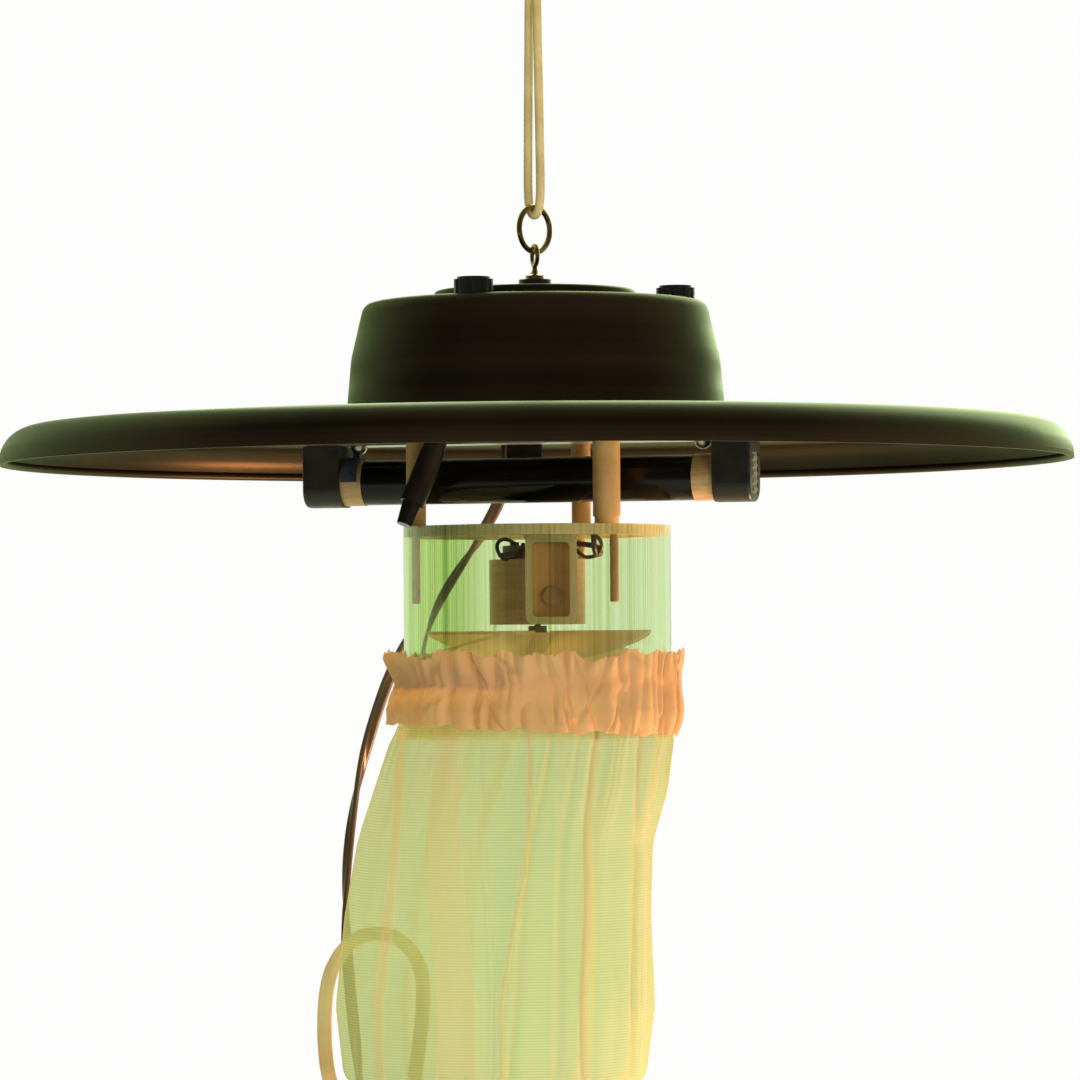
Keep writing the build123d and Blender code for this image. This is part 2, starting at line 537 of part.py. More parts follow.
def make_photoswitch():
    """A light sensor in a black rubber sleeve, hanging in front of the left post."""
    top, bend, foot, tip = (Vector(*point) for point in SWITCH_LINE)
    facings = [(top, Vector(0, 0, -1)), (bend, foot - top), (foot, tip - bend)]
    rings = [Plane(at, z_dir=way) * Circle(r) for (at, way), r in zip(facings, SLEEVE_RADII)]
    sleeve = loft(rings)
    ends = zip((foot, tip), NOSE_RADII)
    nose = loft([Plane(at, z_dir=tip - foot) * Circle(r) for at, r in ends])
    put("photoswitch_sleeve", sleeve)
    put("photoswitch_sensor", nose - sleeve)


# ---- posts, rods and cylinder ----
def make_posts():
    top, foot = PLATE_TOP - PLATE_T, CYL_TOP
    rods, side_posts = [], []
    for name, angle in ROD_ANGLES.items():
        x, y, _ = on_circle(ROD_CIRCLE_R, angle)
        if name == "front":
            post = rod(FRONT_POST_R, foot + FRONT_FOOT_H, top, x + FRONT_POST_SHIFT, y)
            post += rod(FRONT_FOOT_R, foot, foot + FRONT_FOOT_H, x + FRONT_POST_SHIFT, y)
            post -= hole(LEAD_HOLE_R, foot, top, *LEAD_TOP)
        else:
            post = rod(POST_R, foot, top, x, y)
        post -= hole(ROD_R, foot, top, x, y)
        if name == "front":
            put("front_post", post)
        else:
            side_posts.append(post)
        rods.append(fillet(rod(ROD_R, ROD_BOTTOM, PLATE_TOP + ROD_UP, x, y).edges(), ROD_FILLET))
    put("side_posts", Compound(side_posts))
    put("threaded_rods", Compound(rods))


def make_cylinder():
    put("clear_cylinder", tube(CYL_R, CYL_R - CYL_WALL, CYL_BOTTOM, CYL_TOP))
    low = CYL_TOP - DECK_T
    deck = tube(CYL_R - CYL_WALL, CYL_R - CYL_WALL - DECK_RING_W, low, CYL_TOP)
    beam = Pos(BRACKET_X, 0, (low + CYL_TOP) / 2) * Box(DECK_BEAM_W, 2 * CYL_R, DECK_T)
    deck += beam & rod(CYL_R - CYL_WALL, low, CYL_TOP)
    for angle in ROD_ANGLES.values():
        deck -= hole(ROD_R, low, CYL_TOP, *on_circle(ROD_CIRCLE_R, angle)[:2])
    deck -= hole(LEAD_HOLE_R, low, CYL_TOP, *LEAD_TOP)
    put("cylinder_deck", deck)


# ---- motor, bracket and fan ----
def make_motor():
    depth = BRACKET_BACK - BRACKET_FRONT
    top = CYL_TOP - DECK_T
    middle_y, middle_z = (BRACKET_FRONT + BRACKET_BACK) / 2, (top + BRACKET_BOTTOM) / 2
    height = top - BRACKET_BOTTOM
    inside_w, inside_h = BRACKET_W - 2 * BRACKET_WALL, height - 2 * BRACKET_WALL
    outer = Box(BRACKET_W, depth, height)
    outer = fillet(outer.edges().filter_by(Axis.Y), BRACKET_FILLET)
    window = Box(inside_w, depth + 2 * PAST, inside_h)
    window = fillet(window.edges().filter_by(Axis.Y), BRACKET_WINDOW_FILLET)
    put("motor_bracket", Pos(BRACKET_X, middle_y, middle_z) * (outer - window))

    clamp = Pos(BRACKET_X, (BRACKET_BACK + CLAMP_BACK) / 2, middle_z)
    clamp *= Box(BRACKET_W, CLAMP_BACK - BRACKET_BACK, height - CLAMP_SHORTER)
    clamp -= rod(MOTOR_R, MOTOR_BOTTOM - MOTOR_FLANGE_T - PAST, top)
    insert = Box(inside_w - 2 * INSERT_GAP, INSERT_T, inside_h - 2 * INSERT_GAP)
    insert = fillet(insert.edges().filter_by(Axis.Y), INSERT_FILLET)
    insert = Pos(BRACKET_X, BRACKET_BACK - INSERT_T / 2, middle_z) * insert
    put("motor_clamp", clamp + insert)

    bolt_y = BRACKET_BACK - INSERT_T - BOLT_H / 2
    bolt = Pos(BOLT_X, bolt_y, BOLT_Z) * Rot(90, 0, 0) * Cylinder(BOLT_R, BOLT_H)
    put("clamp_bolt", fillet(bolt.edges().sort_by(Axis.Y)[0], BOLT_FILLET))

    can = tube(MOTOR_R, MOTOR_R - MOTOR_WALL, MOTOR_BOTTOM, MOTOR_TOP)
    can += tube(MOTOR_R, MOTOR_MOUTH_R, MOTOR_TOP - MOTOR_WALL, MOTOR_TOP)
    put("motor_can", can)
    flange_bottom = MOTOR_BOTTOM - MOTOR_FLANGE_T
    put("motor_flange", tube(MOTOR_R, SHAFT_R + FIT, flange_bottom, MOTOR_BOTTOM))
    magnet_low, magnet_high = MOTOR_BOTTOM + MAGNET_UP, MOTOR_TOP - MAGNET_DOWN
    put("motor_magnets", tube(MOTOR_R - MOTOR_WALL, MAGNET_BORE, magnet_low, magnet_high))
    shaft = rod(SHAFT_R, FAN_BOTTOM + SHAFT_IN_HUB, MOTOR_TOP + SHAFT_UP)
    put("motor_rotor", rod(ROTOR_R, magnet_low, magnet_high) + shaft)
    head_top = MOTOR_TOP + HEAD_H
    head = tube(HEAD_R, SHAFT_R + FIT, MOTOR_TOP, head_top)
    head += rod(HEAD_R, head_top - HEAD_ROOF, head_top)
    for side in (-1, 1):
        head += Pos(side * TAB_X, side * TAB_Y, head_top + TAB_UP) * Box(*TAB)
    put("brush_holder", head)


def make_motor_leads():
    """The leads' sleeve, from the front post's foot to the motor's terminals."""
    put("motor_leads", cord("motor lead", LEAD_ROUTE, LEAD_D))


def make_fan():
    """A moulded fan: four broad blades, each a helical sector that falls from its leading edge."""
    hub_top = FAN_TOP - FAN_HUB_LOWER
    fan = tube(FAN_HUB_R, SHAFT_R, FAN_BOTTOM, hub_top)
    blade_middle = (FAN_R + BLADE_ROOT) / 2
    strip = Rot(90, 0, 0) * Rectangle(FAN_R - BLADE_ROOT, BLADE_T)
    for blade in range(FAN_BLADES):
        lead = FAN_LEAD_ANGLE + 360 / FAN_BLADES * blade
        sections = []
        for k in range(FAN_SECTIONS):
            share = k / (FAN_SECTIONS - 1)
            z = FAN_TOP - BLADE_T / 2 - (FAN_TOP - FAN_BOTTOM - BLADE_T) * share
            sections.append(Rot(0, 0, lead - FAN_SWEEP * share) * Pos(blade_middle, 0, z) * strip)
        fan += loft(sections)
    put("fan", fan)
    put("fan_collar", tube(COLLAR_R, SHAFT_R, hub_top, MOTOR_BOTTOM - MOTOR_FLANGE_T - COLLAR_GAP))


# ---- collection bag ----
def bag_skin(shape, inset):
    """The bag's shape, drawn in all round by an inset."""
    rings = [Pos(x, 0, z) * Ellipse(wide - inset, deep - inset) for z, x, wide, deep in shape]
    return loft(rings, ruled=True)


def make_bag():
    put("bag_cuff", turned(CUFF_OUTLINE))
    put("cuff_elastic", tube(CUFF_IN_R, CYL_R + ELASTIC_GAP, ELASTIC_BOTTOM, ELASTIC_TOP))
    hollow = bag_skin(BAG_SHAPE[:BAG_FLOOR], NET_T)
    mouth_z, mouth_x, mouth_r, _ = BAG_SHAPE[0]
    mouth = Pos(mouth_x, 0, mouth_z) * Circle(mouth_r - NET_T)
    put("net_bag", bag_skin(BAG_SHAPE, 0.0) - hollow - extrude(mouth, MOUTH_H))


def make_tie():
    wrap = Pos(NECK_X, 0, NECK_Z) * Torus(WRAP_R, WRAP_WIRE_R)
    knot = Pos(TIE_X, TIE_Y, NECK_Z) * Sphere(TIE_KNOT_R)
    inside = hole(WRAP_INSIDE_R, NECK_Z - TIE_KNOT_R, NECK_Z + TIE_KNOT_R, NECK_X)
    put("tie_knot", knot + wrap - inside)
    put("tie_tape", cord("tie tape", TAPE_ROUTE, TAPE_D) - knot)


# ---- power cable ----
def make_cable():
    ring = Torus(COIL_R, COIL_BUNDLE_R)
    coil = Pos(COIL_X, COIL_Y, COIL_Z) * Rot(90, 0, 0) * ring
    tie_place = Pos(COIL_X, COIL_Y, COIL_Z) * Rot(0, COIL_TIE_TURN, 0)
    tie_place *= Pos(0, 0, COIL_R) * Rot(0, 90, 0)
    hoop = Cylinder(COIL_BUNDLE_R + COIL_TIE_T, COIL_TIE_W)
    hoop -= Cylinder(COIL_BUNDLE_R + COIL_TIE_GAP, COIL_TIE_W + 2 * PAST)
    hoop = tie_place * hoop
    put("cable_coil", coil)
    put("coil_tie", hoop - coil)
    put("power_cable", cord("power cable", CABLE_ROUTE, CABLE_D) - coil - hoop)
    put("cable_tail", cord("cable tail", TAIL_ROUTE, CABLE_D) - coil)

    tail_end = Vector(*TAIL_ROUTE[-1])
    out = (tail_end - Vector(*TAIL_ROUTE[-2])).normalized()
    place = Plane(tail_end, z_dir=out)
    body = place * Pos(0, 0, PLUG_BODY_L / 2) * Cylinder(PLUG_R, PLUG_BODY_L)
    put("plug_body", fillet(body.edges(), PLUG_FILLET))
    barrel = Cylinder(BARREL_R, BARREL_L) - Cylinder(BARREL_BORE, BARREL_L + 2 * PAST)
    put("plug_barrel", place * Pos(0, 0, PLUG_BODY_L + BARREL_L / 2) * barrel)
    tip = tail_end + out * (PLUG_BODY_L + BARREL_L)
    print("plug tip", tip, "axis", out)


make_rope()
make_swivel()
make_shield()
make_thumb_nuts()
make_chassis()
make_chassis_nuts()
make_lamp()
make_holders()
make_photoswitch()
make_posts()
make_cylinder()
make_motor()
make_motor_leads()
make_fan()
make_bag()
make_tie()
make_cable()
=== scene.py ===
import json
import math

import bpy
import numpy as np
from mathutils import Matrix, Vector


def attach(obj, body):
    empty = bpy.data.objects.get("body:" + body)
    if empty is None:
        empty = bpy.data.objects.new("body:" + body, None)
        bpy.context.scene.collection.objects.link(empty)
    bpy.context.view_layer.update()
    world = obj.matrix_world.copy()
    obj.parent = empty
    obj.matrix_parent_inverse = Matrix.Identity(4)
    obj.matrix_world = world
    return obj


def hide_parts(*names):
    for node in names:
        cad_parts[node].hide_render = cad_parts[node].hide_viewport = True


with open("model.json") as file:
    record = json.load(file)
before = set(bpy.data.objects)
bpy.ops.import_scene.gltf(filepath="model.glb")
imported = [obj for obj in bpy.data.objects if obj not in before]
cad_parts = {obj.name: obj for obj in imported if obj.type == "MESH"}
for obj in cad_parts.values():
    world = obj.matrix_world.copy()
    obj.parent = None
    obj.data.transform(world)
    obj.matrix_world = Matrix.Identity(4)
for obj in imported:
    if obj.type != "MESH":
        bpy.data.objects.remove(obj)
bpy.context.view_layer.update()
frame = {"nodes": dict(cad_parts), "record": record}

# The looks of a hanging suction light trap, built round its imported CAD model. Lengths in this file's
# tables are millimetres from the centre of the rain shield's rim; place() turns them into metres.

MM = 0.001
RIM = -0.185  # height of the shield's rim; the hanging point is the origin
TRAP_MIDDLE = (0.0, 0.0, -0.24)  # what the lamps aim at

nodes = frame["nodes"]


def place(points):
    """Points in millimetres from the centre of the rim, in metres in the row frame."""
    return np.array(points, float) * MM + (0.0, 0.0, RIM)


# ---- camera and light ----
LENS, SENSOR = 166.7, 36.0
CAMERA_AT = (0.001, -1.661, RIM - 0.062)
CAMERA_TILT = 91.26  # degrees; 90 is level, and more looks up
CAMERA_ROLL = -0.45  # degrees: the photo's brim is a little lower on the left
FLOOR_Z = -0.64
FLOOR_RINGS = (0.0001, 0.8, 2.4)


def make_camera():
    data = bpy.data.cameras.new("camera")
    data.lens, data.sensor_width = LENS, SENSOR
    camera = bpy.data.objects.new("camera", data)
    camera.location = CAMERA_AT
    tilt = Matrix.Rotation(math.radians(CAMERA_TILT), 3, "X")
    roll = Matrix.Rotation(math.radians(CAMERA_ROLL), 3, "Z")
    camera.rotation_euler = (tilt @ roll).to_euler()
    bpy.context.scene.collection.objects.link(camera)
    bpy.context.scene.camera = camera


def area_light(name, position, target, size, watts, colour, mirrored=True):
    """A square lamp that the camera can't see, and that no surface mirrors unless it is mirrored."""
    data = bpy.data.lights.new(name, "AREA")
    data.size, data.energy, data.color = size, watts, colour
    light = bpy.data.objects.new(name, data)
    light.visible_camera = False
    light.visible_glossy = light.visible_transmission = mirrored
    light.location = position
    light.rotation_euler = (Vector(target) - Vector(position)).to_track_quat("-Z", "Y").to_euler()
    bpy.context.scene.collection.objects.link(light)


def make_world():
    """A pale studio that is brightest behind the trap, so that cloth and acrylic glow."""
    world = bpy.data.worlds.new("studio")
    bpy.context.scene.world = world
    world.use_nodes = True
    tree = world.node_tree
    tree.nodes.clear()
    add = tree.nodes.new
    out, mix = add("ShaderNodeOutputWorld"), add("ShaderNodeMixShader")
    seen, lit = add("ShaderNodeBackground"), add("ShaderNodeBackground")
    path, where, split = add("ShaderNodeLightPath"), add("ShaderNodeTexCoord"), add("ShaderNodeSeparateXYZ")
    share, blend = add("ShaderNodeMapRange"), add("ShaderNodeMix")
    seen.inputs["Color"].default_value = (0.985, 0.985, 0.98, 1)
    share.interpolation_type = "SMOOTHSTEP"
    share.inputs["From Min"].default_value, share.inputs["From Max"].default_value = -0.35, 0.75
    blend.data_type = "RGBA"
    blend.inputs["A"].default_value = (0.10, 0.095, 0.085, 1)
    blend.inputs["B"].default_value = (0.80, 0.93, 0.60, 1)
    links = [
        (where.outputs["Generated"], split.inputs[0]),
        (split.outputs["Y"], share.inputs["Value"]),
        (share.outputs["Result"], blend.inputs["Factor"]),
        (blend.outputs["Result"], lit.inputs["Color"]),
        (path.outputs["Is Camera Ray"], mix.inputs[0]),
        (lit.outputs[0], mix.inputs[1]),
        (seen.outputs[0], mix.inputs[2]),
        (mix.outputs[0], out.inputs[0]),
    ]
    for a, b in links:
        tree.links.new(a, b)


def make_stage():
    bpy.context.scene.view_settings.view_transform = "Standard"
    make_world()
    left_lip = (-0.10, 0.14, RIM)
    area_light("back_light", (0.35, 1.3, 0.55), TRAP_MIDDLE, 1.4, 22.0, (0.93, 1.0, 0.80))
    area_light("warm_fill", (0.9, -1.1, -0.35), TRAP_MIDDLE, 0.7, 12.0, (1.0, 0.76, 0.54), mirrored=False)
    area_light("front_fill", (-0.5, -1.5, 0.35), TRAP_MIDDLE, 1.0, 6.0, (1.0, 0.97, 0.90), mirrored=False)
    area_light("under_glow", (0.27, 0.08, -0.50), left_lip, 0.10, 2.6, (1.0, 0.46, 0.22))
    disc = [[(r * math.cos(a), r * math.sin(a), FLOOR_Z) for a in ring_angles(64)] for r in FLOOR_RINGS]
    floor = grid_piece("floor", np.array(disc), around=True)
    floor.data.materials.append(plain("floor", (0.86, 0.86, 0.84), 0.8))


# ---- meshes ----
def grid_piece(name, rows, around, caps=False):
    """A mesh from a grid of points, row by row, each row closed if around is true."""
    m, n = rows.shape[:2]
    across = n if around else n - 1
    i, j = np.meshgrid(np.arange(m - 1), np.arange(across), indexing="ij")
    right = (j + 1) % n
    faces = np.stack([i * n + j, i * n + right, (i + 1) * n + right, (i + 1) * n + j], -1)
    faces = faces.reshape(-1, 4).tolist()
    if caps:
        faces += [list(range(n))[::-1], list(range((m - 1) * n, m * n))]
    mesh = bpy.data.meshes.new(name)
    mesh.from_pydata(rows.reshape(-1, 3).tolist(), [], faces)
    mesh.shade_smooth()
    piece = bpy.data.objects.new(name, mesh)
    bpy.context.scene.collection.objects.link(piece)
    return piece


def store(piece, name, values):
    """Keeps one number a vertex, for the piece's material."""
    attribute = piece.data.attributes.new(name, "FLOAT", "POINT")
    attribute.data.foreach_set("value", np.asarray(values, np.float32).ravel())


def smooth_line(points):
    """The line of a NURBS spline with these control points."""
    curve = bpy.data.curves.new("route", "CURVE")
    curve.dimensions, curve.resolution_u = "3D", 24
    spline = curve.splines.new("NURBS")
    spline.points.add(len(points) - 1)
    for target, co in zip(spline.points, points):
        target.co = (*co, 1.0)
    spline.order_u = 3
    spline.use_endpoint_u = True
    holder = bpy.data.objects.new("route", curve)
    mesh = bpy.data.meshes.new_from_object(holder)
    line = np.array([v.co for v in mesh.vertices])
    bpy.data.objects.remove(holder)
    bpy.data.meshes.remove(mesh)
    bpy.data.curves.remove(curve)
    return line


def even(line, step):
    """The same line with its points one step apart, and how far along it each lies."""
    runs = np.linalg.norm(np.diff(line, axis=0), axis=1)
    along = np.concatenate([[0.0], np.cumsum(runs)])
    s = np.linspace(0.0, along[-1], int(along[-1] / step) + 2)
    return np.stack([np.interp(s, along, line[:, k]) for k in range(3)], 1), s


def swept(name, line, outline, step, start=(0.0, 1.0, 0.0), keep_facing=False, caps=True):
    """A tube along a line. outline(s) gives each ring's two offsets from the line, in metres."""
    line, s = even(line, step)
    tangents = np.gradient(line, axis=0)
    tangents /= np.linalg.norm(tangents, axis=1)[:, None]
    sides = np.empty_like(line)
    side = np.array(start, float)
    for k, tangent in enumerate(tangents):
        if keep_facing:
            side = np.array(start, float)
        side = side - side.dot(tangent) * tangent
        side /= np.linalg.norm(side)
        sides[k] = side
    ups = np.cross(tangents, sides)
    u, v = outline(s)
    rings = line[:, None] + sides[:, None] * u[..., None] + ups[:, None] * v[..., None]
    return grid_piece(name, rings, around=True, caps=caps), line


def ring_angles(count):
    """Evenly spaced angles once round."""
    return np.linspace(0.0, 2 * math.pi, count + 1)[:-1]


def braided(diameter, strands=8, lay=1.7):
    """The outline of a braided cord: diamonds that stand out where its yarns cross."""
    def outline(s):
        a = ring_angles(32)[None, :]
        turn = (2 * math.pi * s / (strands * lay * MM))[:, None]
        diamonds = np.abs(np.sin(strands / 2 * (a + turn)) * np.sin(strands / 2 * (a - turn)))
        radius = diameter / 2 * (0.88 + 0.15 * diamonds**0.5)
        return radius * np.cos(a), radius * np.sin(a)
    return outline


def twin_lead(width, thickness, twist_length):
    """The outline of a flat twin lead, waisted between its two cores, that twists as it runs."""
    def outline(s):
        a = ring_angles(20)
        u = width / 2 * np.cos(a)
        v = thickness / 2 * np.sin(a) * (1 - 0.42 * np.exp(-(np.cos(a) / 0.3) ** 2))
        turn = (1.3 * np.sin(2 * math.pi * s / twist_length) + 0.5)[:, None]
        return u * np.cos(turn) - v * np.sin(turn), u * np.sin(turn) + v * np.cos(turn)
    return outline


def ribbon(width, thickness):
    """The outline of a flat tape with a bead along each edge and one down its middle."""
    def outline(s):
        a = ring_angles(28)
        across = np.sign(np.cos(a)) * np.abs(np.cos(a)) ** 0.8
        middle = np.exp(-(across / 0.16) ** 2)
        edges = np.exp(-((np.abs(across) - 0.85) / 0.12) ** 2)
        bead = 0.45 + 0.55 * (middle + edges)
        flat = thickness / 2 * np.sign(np.sin(a)) * np.abs(np.sin(a)) ** 0.5 * bead
        wave = (0.18 * MM * np.sin(2 * math.pi * s / (9 * MM)))[:, None]
        return flat[None, :] + wave, np.broadcast_to(width / 2 * across, (len(s), len(a)))
    return outline


def round_wire(diameter):
    """The outline of a plain round wire."""
    def outline(s):
        a = ring_angles(12)
        shape = (len(s), len(a))
        u, v = diameter / 2 * np.cos(a), diameter / 2 * np.sin(a)
        return np.broadcast_to(u, shape), np.broadcast_to(v, shape)
    return outline


def knot_line(centre, wide, deep, turn=0.0):
    """A small overhand knot's line about a point."""
    t = np.linspace(0.0, 2 * math.pi, 241)
    ring = (wide + deep * np.cos(3 * t)) * MM
    x, y, z = ring * np.cos(2 * t), ring * np.sin(2 * t), 1.25 * deep * MM * np.sin(3 * t)
    c, s = math.cos(turn), math.sin(turn)
    return np.stack([x, y * c - z * s, y * s + z * c], 1) + place([centre])[0]


def finish_piece(piece, body, slot, material, *replaced):
    """Gives a piece its material and body, and hides the CAD nodes it stands for; its slot is not used."""
    piece.data.materials.append(material)
    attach(piece, body)
    if replaced:
        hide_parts(*replaced)


# ---- materials ----
def plain(name, colour, roughness, **sockets):
    """A material whose shader has these uniform values, on its own sockets."""
    material = bpy.data.materials.new(name)
    material.use_nodes = True
    shader = material.node_tree.nodes["Principled BSDF"]
    shader.inputs["Base Color"].default_value = (*colour, 1.0)
    shader.inputs["Roughness"].default_value = roughness
    for key, value in sockets.items():
        shader.inputs[key.replace("_", " ")].default_value = value
    return material


def node(material, kind, links=(), **values):
    """A new node, with socket values by name and links given as (output, input name or number)."""
    made = material.node_tree.nodes.new(kind)
    for key, value in values.items():
        key = key.replace("_", " ")
        if key in made.inputs:
            made.inputs[key].default_value = value
        else:
            setattr(made, key.replace(" ", "_"), value)
    for source, target in links:
        material.node_tree.links.new(source, made.inputs[target])
    return made


def calc(material, operation, a, b=None):
    """A maths node on two numbers or outputs."""
    made = material.node_tree.nodes.new("ShaderNodeMath")
    made.operation = operation
    for k, value in enumerate((a, b)):
        if value is None:
            continue
        if isinstance(value, (int, float)):
            made.inputs[k].default_value = value
        else:
            material.node_tree.links.new(value, made.inputs[k])
    return made.outputs[0]


def blend_of(material, a, share_a, b, share_b):
    """Two number outputs added in these shares."""
    scaled = calc(material, "MULTIPLY", a, share_a)
    return calc(material, "ADD", scaled, calc(material, "MULTIPLY", b, share_b))


def position(material):
    """Outputs x, y, z of the place on the object, in metres, and the whole vector."""
    coords = node(material, "ShaderNodeTexCoord").outputs["Object"]
    split = node(material, "ShaderNodeSeparateXYZ", [(coords, 0)])
    return split.outputs[0], split.outputs[1], split.outputs[2], coords


def noise(material, vector, scale, detail=4.0, stretch=(1.0, 1.0, 1.0)):
    """A cloudy number output, about 0.25 to 0.75."""
    scaled = node(material, "ShaderNodeVectorMath", [(vector, 0)], operation="MULTIPLY")
    scaled.inputs[1].default_value = stretch
    made = node(material, "ShaderNodeTexNoise", [(scaled.outputs[0], "Vector")], Scale=scale, Detail=detail)
    return made.outputs["Factor"] if "Factor" in made.outputs else made.outputs["Fac"]


def ramp(material, factor, *stops):
    """A colour output that runs through (place, colour) stops."""
    made = node(material, "ShaderNodeValToRGB", [(factor, 0)])
    elements = made.color_ramp.elements
    while len(elements) < len(stops):
        elements.new(0.5)
    for element, (at, colour) in zip(elements, stops):
        element.position, element.color = at, (*colour, 1.0)
    return made.outputs["Color"]


def mixed(material, factor, a, b):
    """A colour output that goes from colour a to colour b."""
    made = material.node_tree.nodes.new("ShaderNodeMix")
    made.data_type = "RGBA"
    for name, output in (("Factor", factor), ("A", a), ("B", b)):
        target = next(i for i in made.inputs if i.name == name and i.enabled)
        material.node_tree.links.new(output, target)
    return next(o for o in made.outputs if o.enabled)


def feed(material, socket, output):
    """Links an output to the shader."""
    shader = material.node_tree.nodes["Principled BSDF"]
    material.node_tree.links.new(output, shader.inputs[socket])


def vary(material, factor, low, high):
    """A number output between low and high."""
    made = node(material, "ShaderNodeMapRange", [(factor, "Value")])
    made.inputs["From Min"].default_value, made.inputs["From Max"].default_value = 0.25, 0.75
    made.inputs["To Min"].default_value, made.inputs["To Max"].default_value = low, high
    return made.outputs["Result"]


def bump(material, height, strength, depth):
    """Lets a number output roughen the surface by this depth, in metres."""
    made = node(material, "ShaderNodeBump", [(height, "Height")], Strength=strength, Distance=depth)
    feed(material, "Normal", made.outputs[0])


def moulded(name, dark, light, roughness, scale=900.0, stretch=(1, 1, 1), grain=0.15, **sockets):
    """A surface with two scales of colour variation, uneven gloss and a fine grain."""
    material = plain(name, light, sum(roughness) / 2, **sockets)
    vector = position(material)[3]
    broad = noise(material, vector, scale / 12, 5.0, stretch)
    fine = noise(material, vector, scale, 3.0, stretch)
    both = blend_of(material, broad, 0.7, fine, 0.3)
    feed(material, "Base Color", ramp(material, both, (0.3, dark), (0.7, light)))
    feed(material, "Roughness", vary(material, broad, *roughness))
    bump(material, fine, grain, 0.15 * MM)
    return material


def make_shield_metal():
    """Spun metal, dark bronze, with the fine rings that the spinning tool leaves."""
    # The green specular tint is painted reflection: it colours the metal's reflections and bright edges with
    # the garden's green.
    material = plain("shield_metal", (0.030, 0.021, 0.014), 0.4, Metallic=0.55, Specular_IOR_Level=0.35,
                     Specular_Tint=(0.50, 0.62, 0.26, 1.0))
    x, y, z, vector = position(material)
    square = calc(material, "ADD", calc(material, "MULTIPLY", x, x), calc(material, "MULTIPLY", y, y))
    radius = calc(material, "SQRT", square)
    rings = node(material, "ShaderNodeCombineXYZ", [(radius, 0), (z, 1)]).outputs[0]
    lines = noise(material, rings, 1500.0, 2.0)
    bands = noise(material, rings, 160.0, 3.0)
    cloud = noise(material, vector, 14.0, 5.0)
    both = blend_of(material, bands, 0.5, cloud, 0.5)
    colours = ramp(material, both, (0.32, (0.013, 0.009, 0.006)), (0.68, (0.050, 0.034, 0.022)))
    feed(material, "Base Color", colours)
    feed(material, "Roughness", vary(material, bands, 0.30, 0.46))
    bump(material, lines, 0.22, 0.06 * MM)
    return material


# the acrylic's painted shade: its streaks are dark left of the first x, in metres, and pale right of the
# second
PAINTED_SHADE_ENDS = -0.030, -0.012


def make_acrylic():
    """Clear extruded acrylic, tinted as by the garden behind it, with lengthwise streaks that are painted
    reflections of the garden and a left side darkened as painted shade.
    """
    material = plain("clear_acrylic", (0.96, 0.98, 0.92), 0.02, Transmission_Weight=1.0, IOR=1.49)
    x, y = position(material)[:2]
    angle = calc(material, "ARCTAN2", y, x)
    around = node(material, "ShaderNodeCombineXYZ", [(calc(material, "MULTIPLY", angle, 9.0), 0)]).outputs[0]
    streaks = noise(material, around, 1.7, 9.0)
    # painted reflections: dark green and near-white streaks stand in for the garden seen in and through the
    # tube; the near-white ones are painted highlights
    dark = ramp(
        material, streaks, (0.36, (0.20, 0.36, 0.11)), (0.44, (0.60, 0.71, 0.37)),
        (0.475, (1.0, 1.0, 0.92)), (0.50, (0.52, 0.68, 0.28)), (0.56, (0.86, 0.94, 0.60)),
        (0.64, (0.27, 0.43, 0.16)))
    pale = ramp(
        material, streaks, (0.36, (0.62, 0.74, 0.44)), (0.43, (1.0, 1.0, 0.96)),
        (0.50, (0.80, 0.86, 0.66)), (0.54, (1.0, 1.0, 1.0)), (0.60, (0.88, 0.92, 0.76)),
        (0.66, (0.56, 0.66, 0.40)))
    # painted shade: the dark streaks on the left fade into the pale ones on the right
    across = node(material, "ShaderNodeMapRange", [(x, "Value")])
    across.inputs["From Min"].default_value, across.inputs["From Max"].default_value = PAINTED_SHADE_ENDS
    feed(material, "Base Color", mixed(material, across.outputs["Result"], dark, pale))
    let_lamps_through(material, (0.86, 0.92, 0.74))
    return material


def let_lamps_through(material, colour):
    """Lets the lamps' light reach what stands behind clear plastic."""
    tree = material.node_tree
    path = node(material, "ShaderNodeLightPath")
    clear = node(material, "ShaderNodeBsdfTransparent")
    clear.inputs["Color"].default_value = (*colour, 1.0)
    solid = tree.nodes["Principled BSDF"].outputs[0]
    inputs = [(path.outputs["Is Shadow Ray"], 0), (solid, 1), (clear.outputs[0], 2)]
    mix = node(material, "ShaderNodeMixShader", inputs)
    tree.links.new(mix.outputs[0], tree.nodes["Material Output"].inputs[0])


def make_milky_acrylic():
    """The same acrylic with sawn, matt faces, which scatter light and look pale."""
    material = moulded(
        "milky_acrylic", (0.76, 0.72, 0.46), (0.94, 0.91, 0.68), (0.30, 0.45), 700, grain=0.1,
        Transmission_Weight=0.35, IOR=1.49)
    glow_through(material, (0.92, 0.88, 0.62), 0.35)
    return material


def make_rope_fibre():
    """Cream braid, a little soiled."""
    material = plain("rope", (0.62, 0.50, 0.25), 0.75, Sheen_Weight=0.3)
    vector = position(material)[3]
    yarn = noise(material, vector, 2600.0, 3.0)
    soil = noise(material, vector, 70.0, 4.0)
    feed(material, "Base Color", ramp(material, soil, (0.3, (0.72, 0.58, 0.24)), (0.7, (0.92, 0.81, 0.44))))
    bump(material, yarn, 0.5, 0.12 * MM)
    return material


def make_cuff_cotton():
    """Thin cotton that lets some of the light behind it through."""
    material = plain("cuff_cotton", (0.82, 0.53, 0.30), 0.8, Sheen_Weight=0.15)
    vector = position(material)[3]
    weave = noise(material, vector, 2200.0, 2.0, (1.0, 1.0, 2.5))
    cloud = noise(material, vector, 45.0, 4.0)
    colours = ramp(material, cloud, (0.3, (0.80, 0.51, 0.27)), (0.7, (0.92, 0.62, 0.36)))
    feed(material, "Base Color", colours)
    bump(material, weave, 0.35, 0.12 * MM)
    glow_through(material, colours, 0.45)
    return material


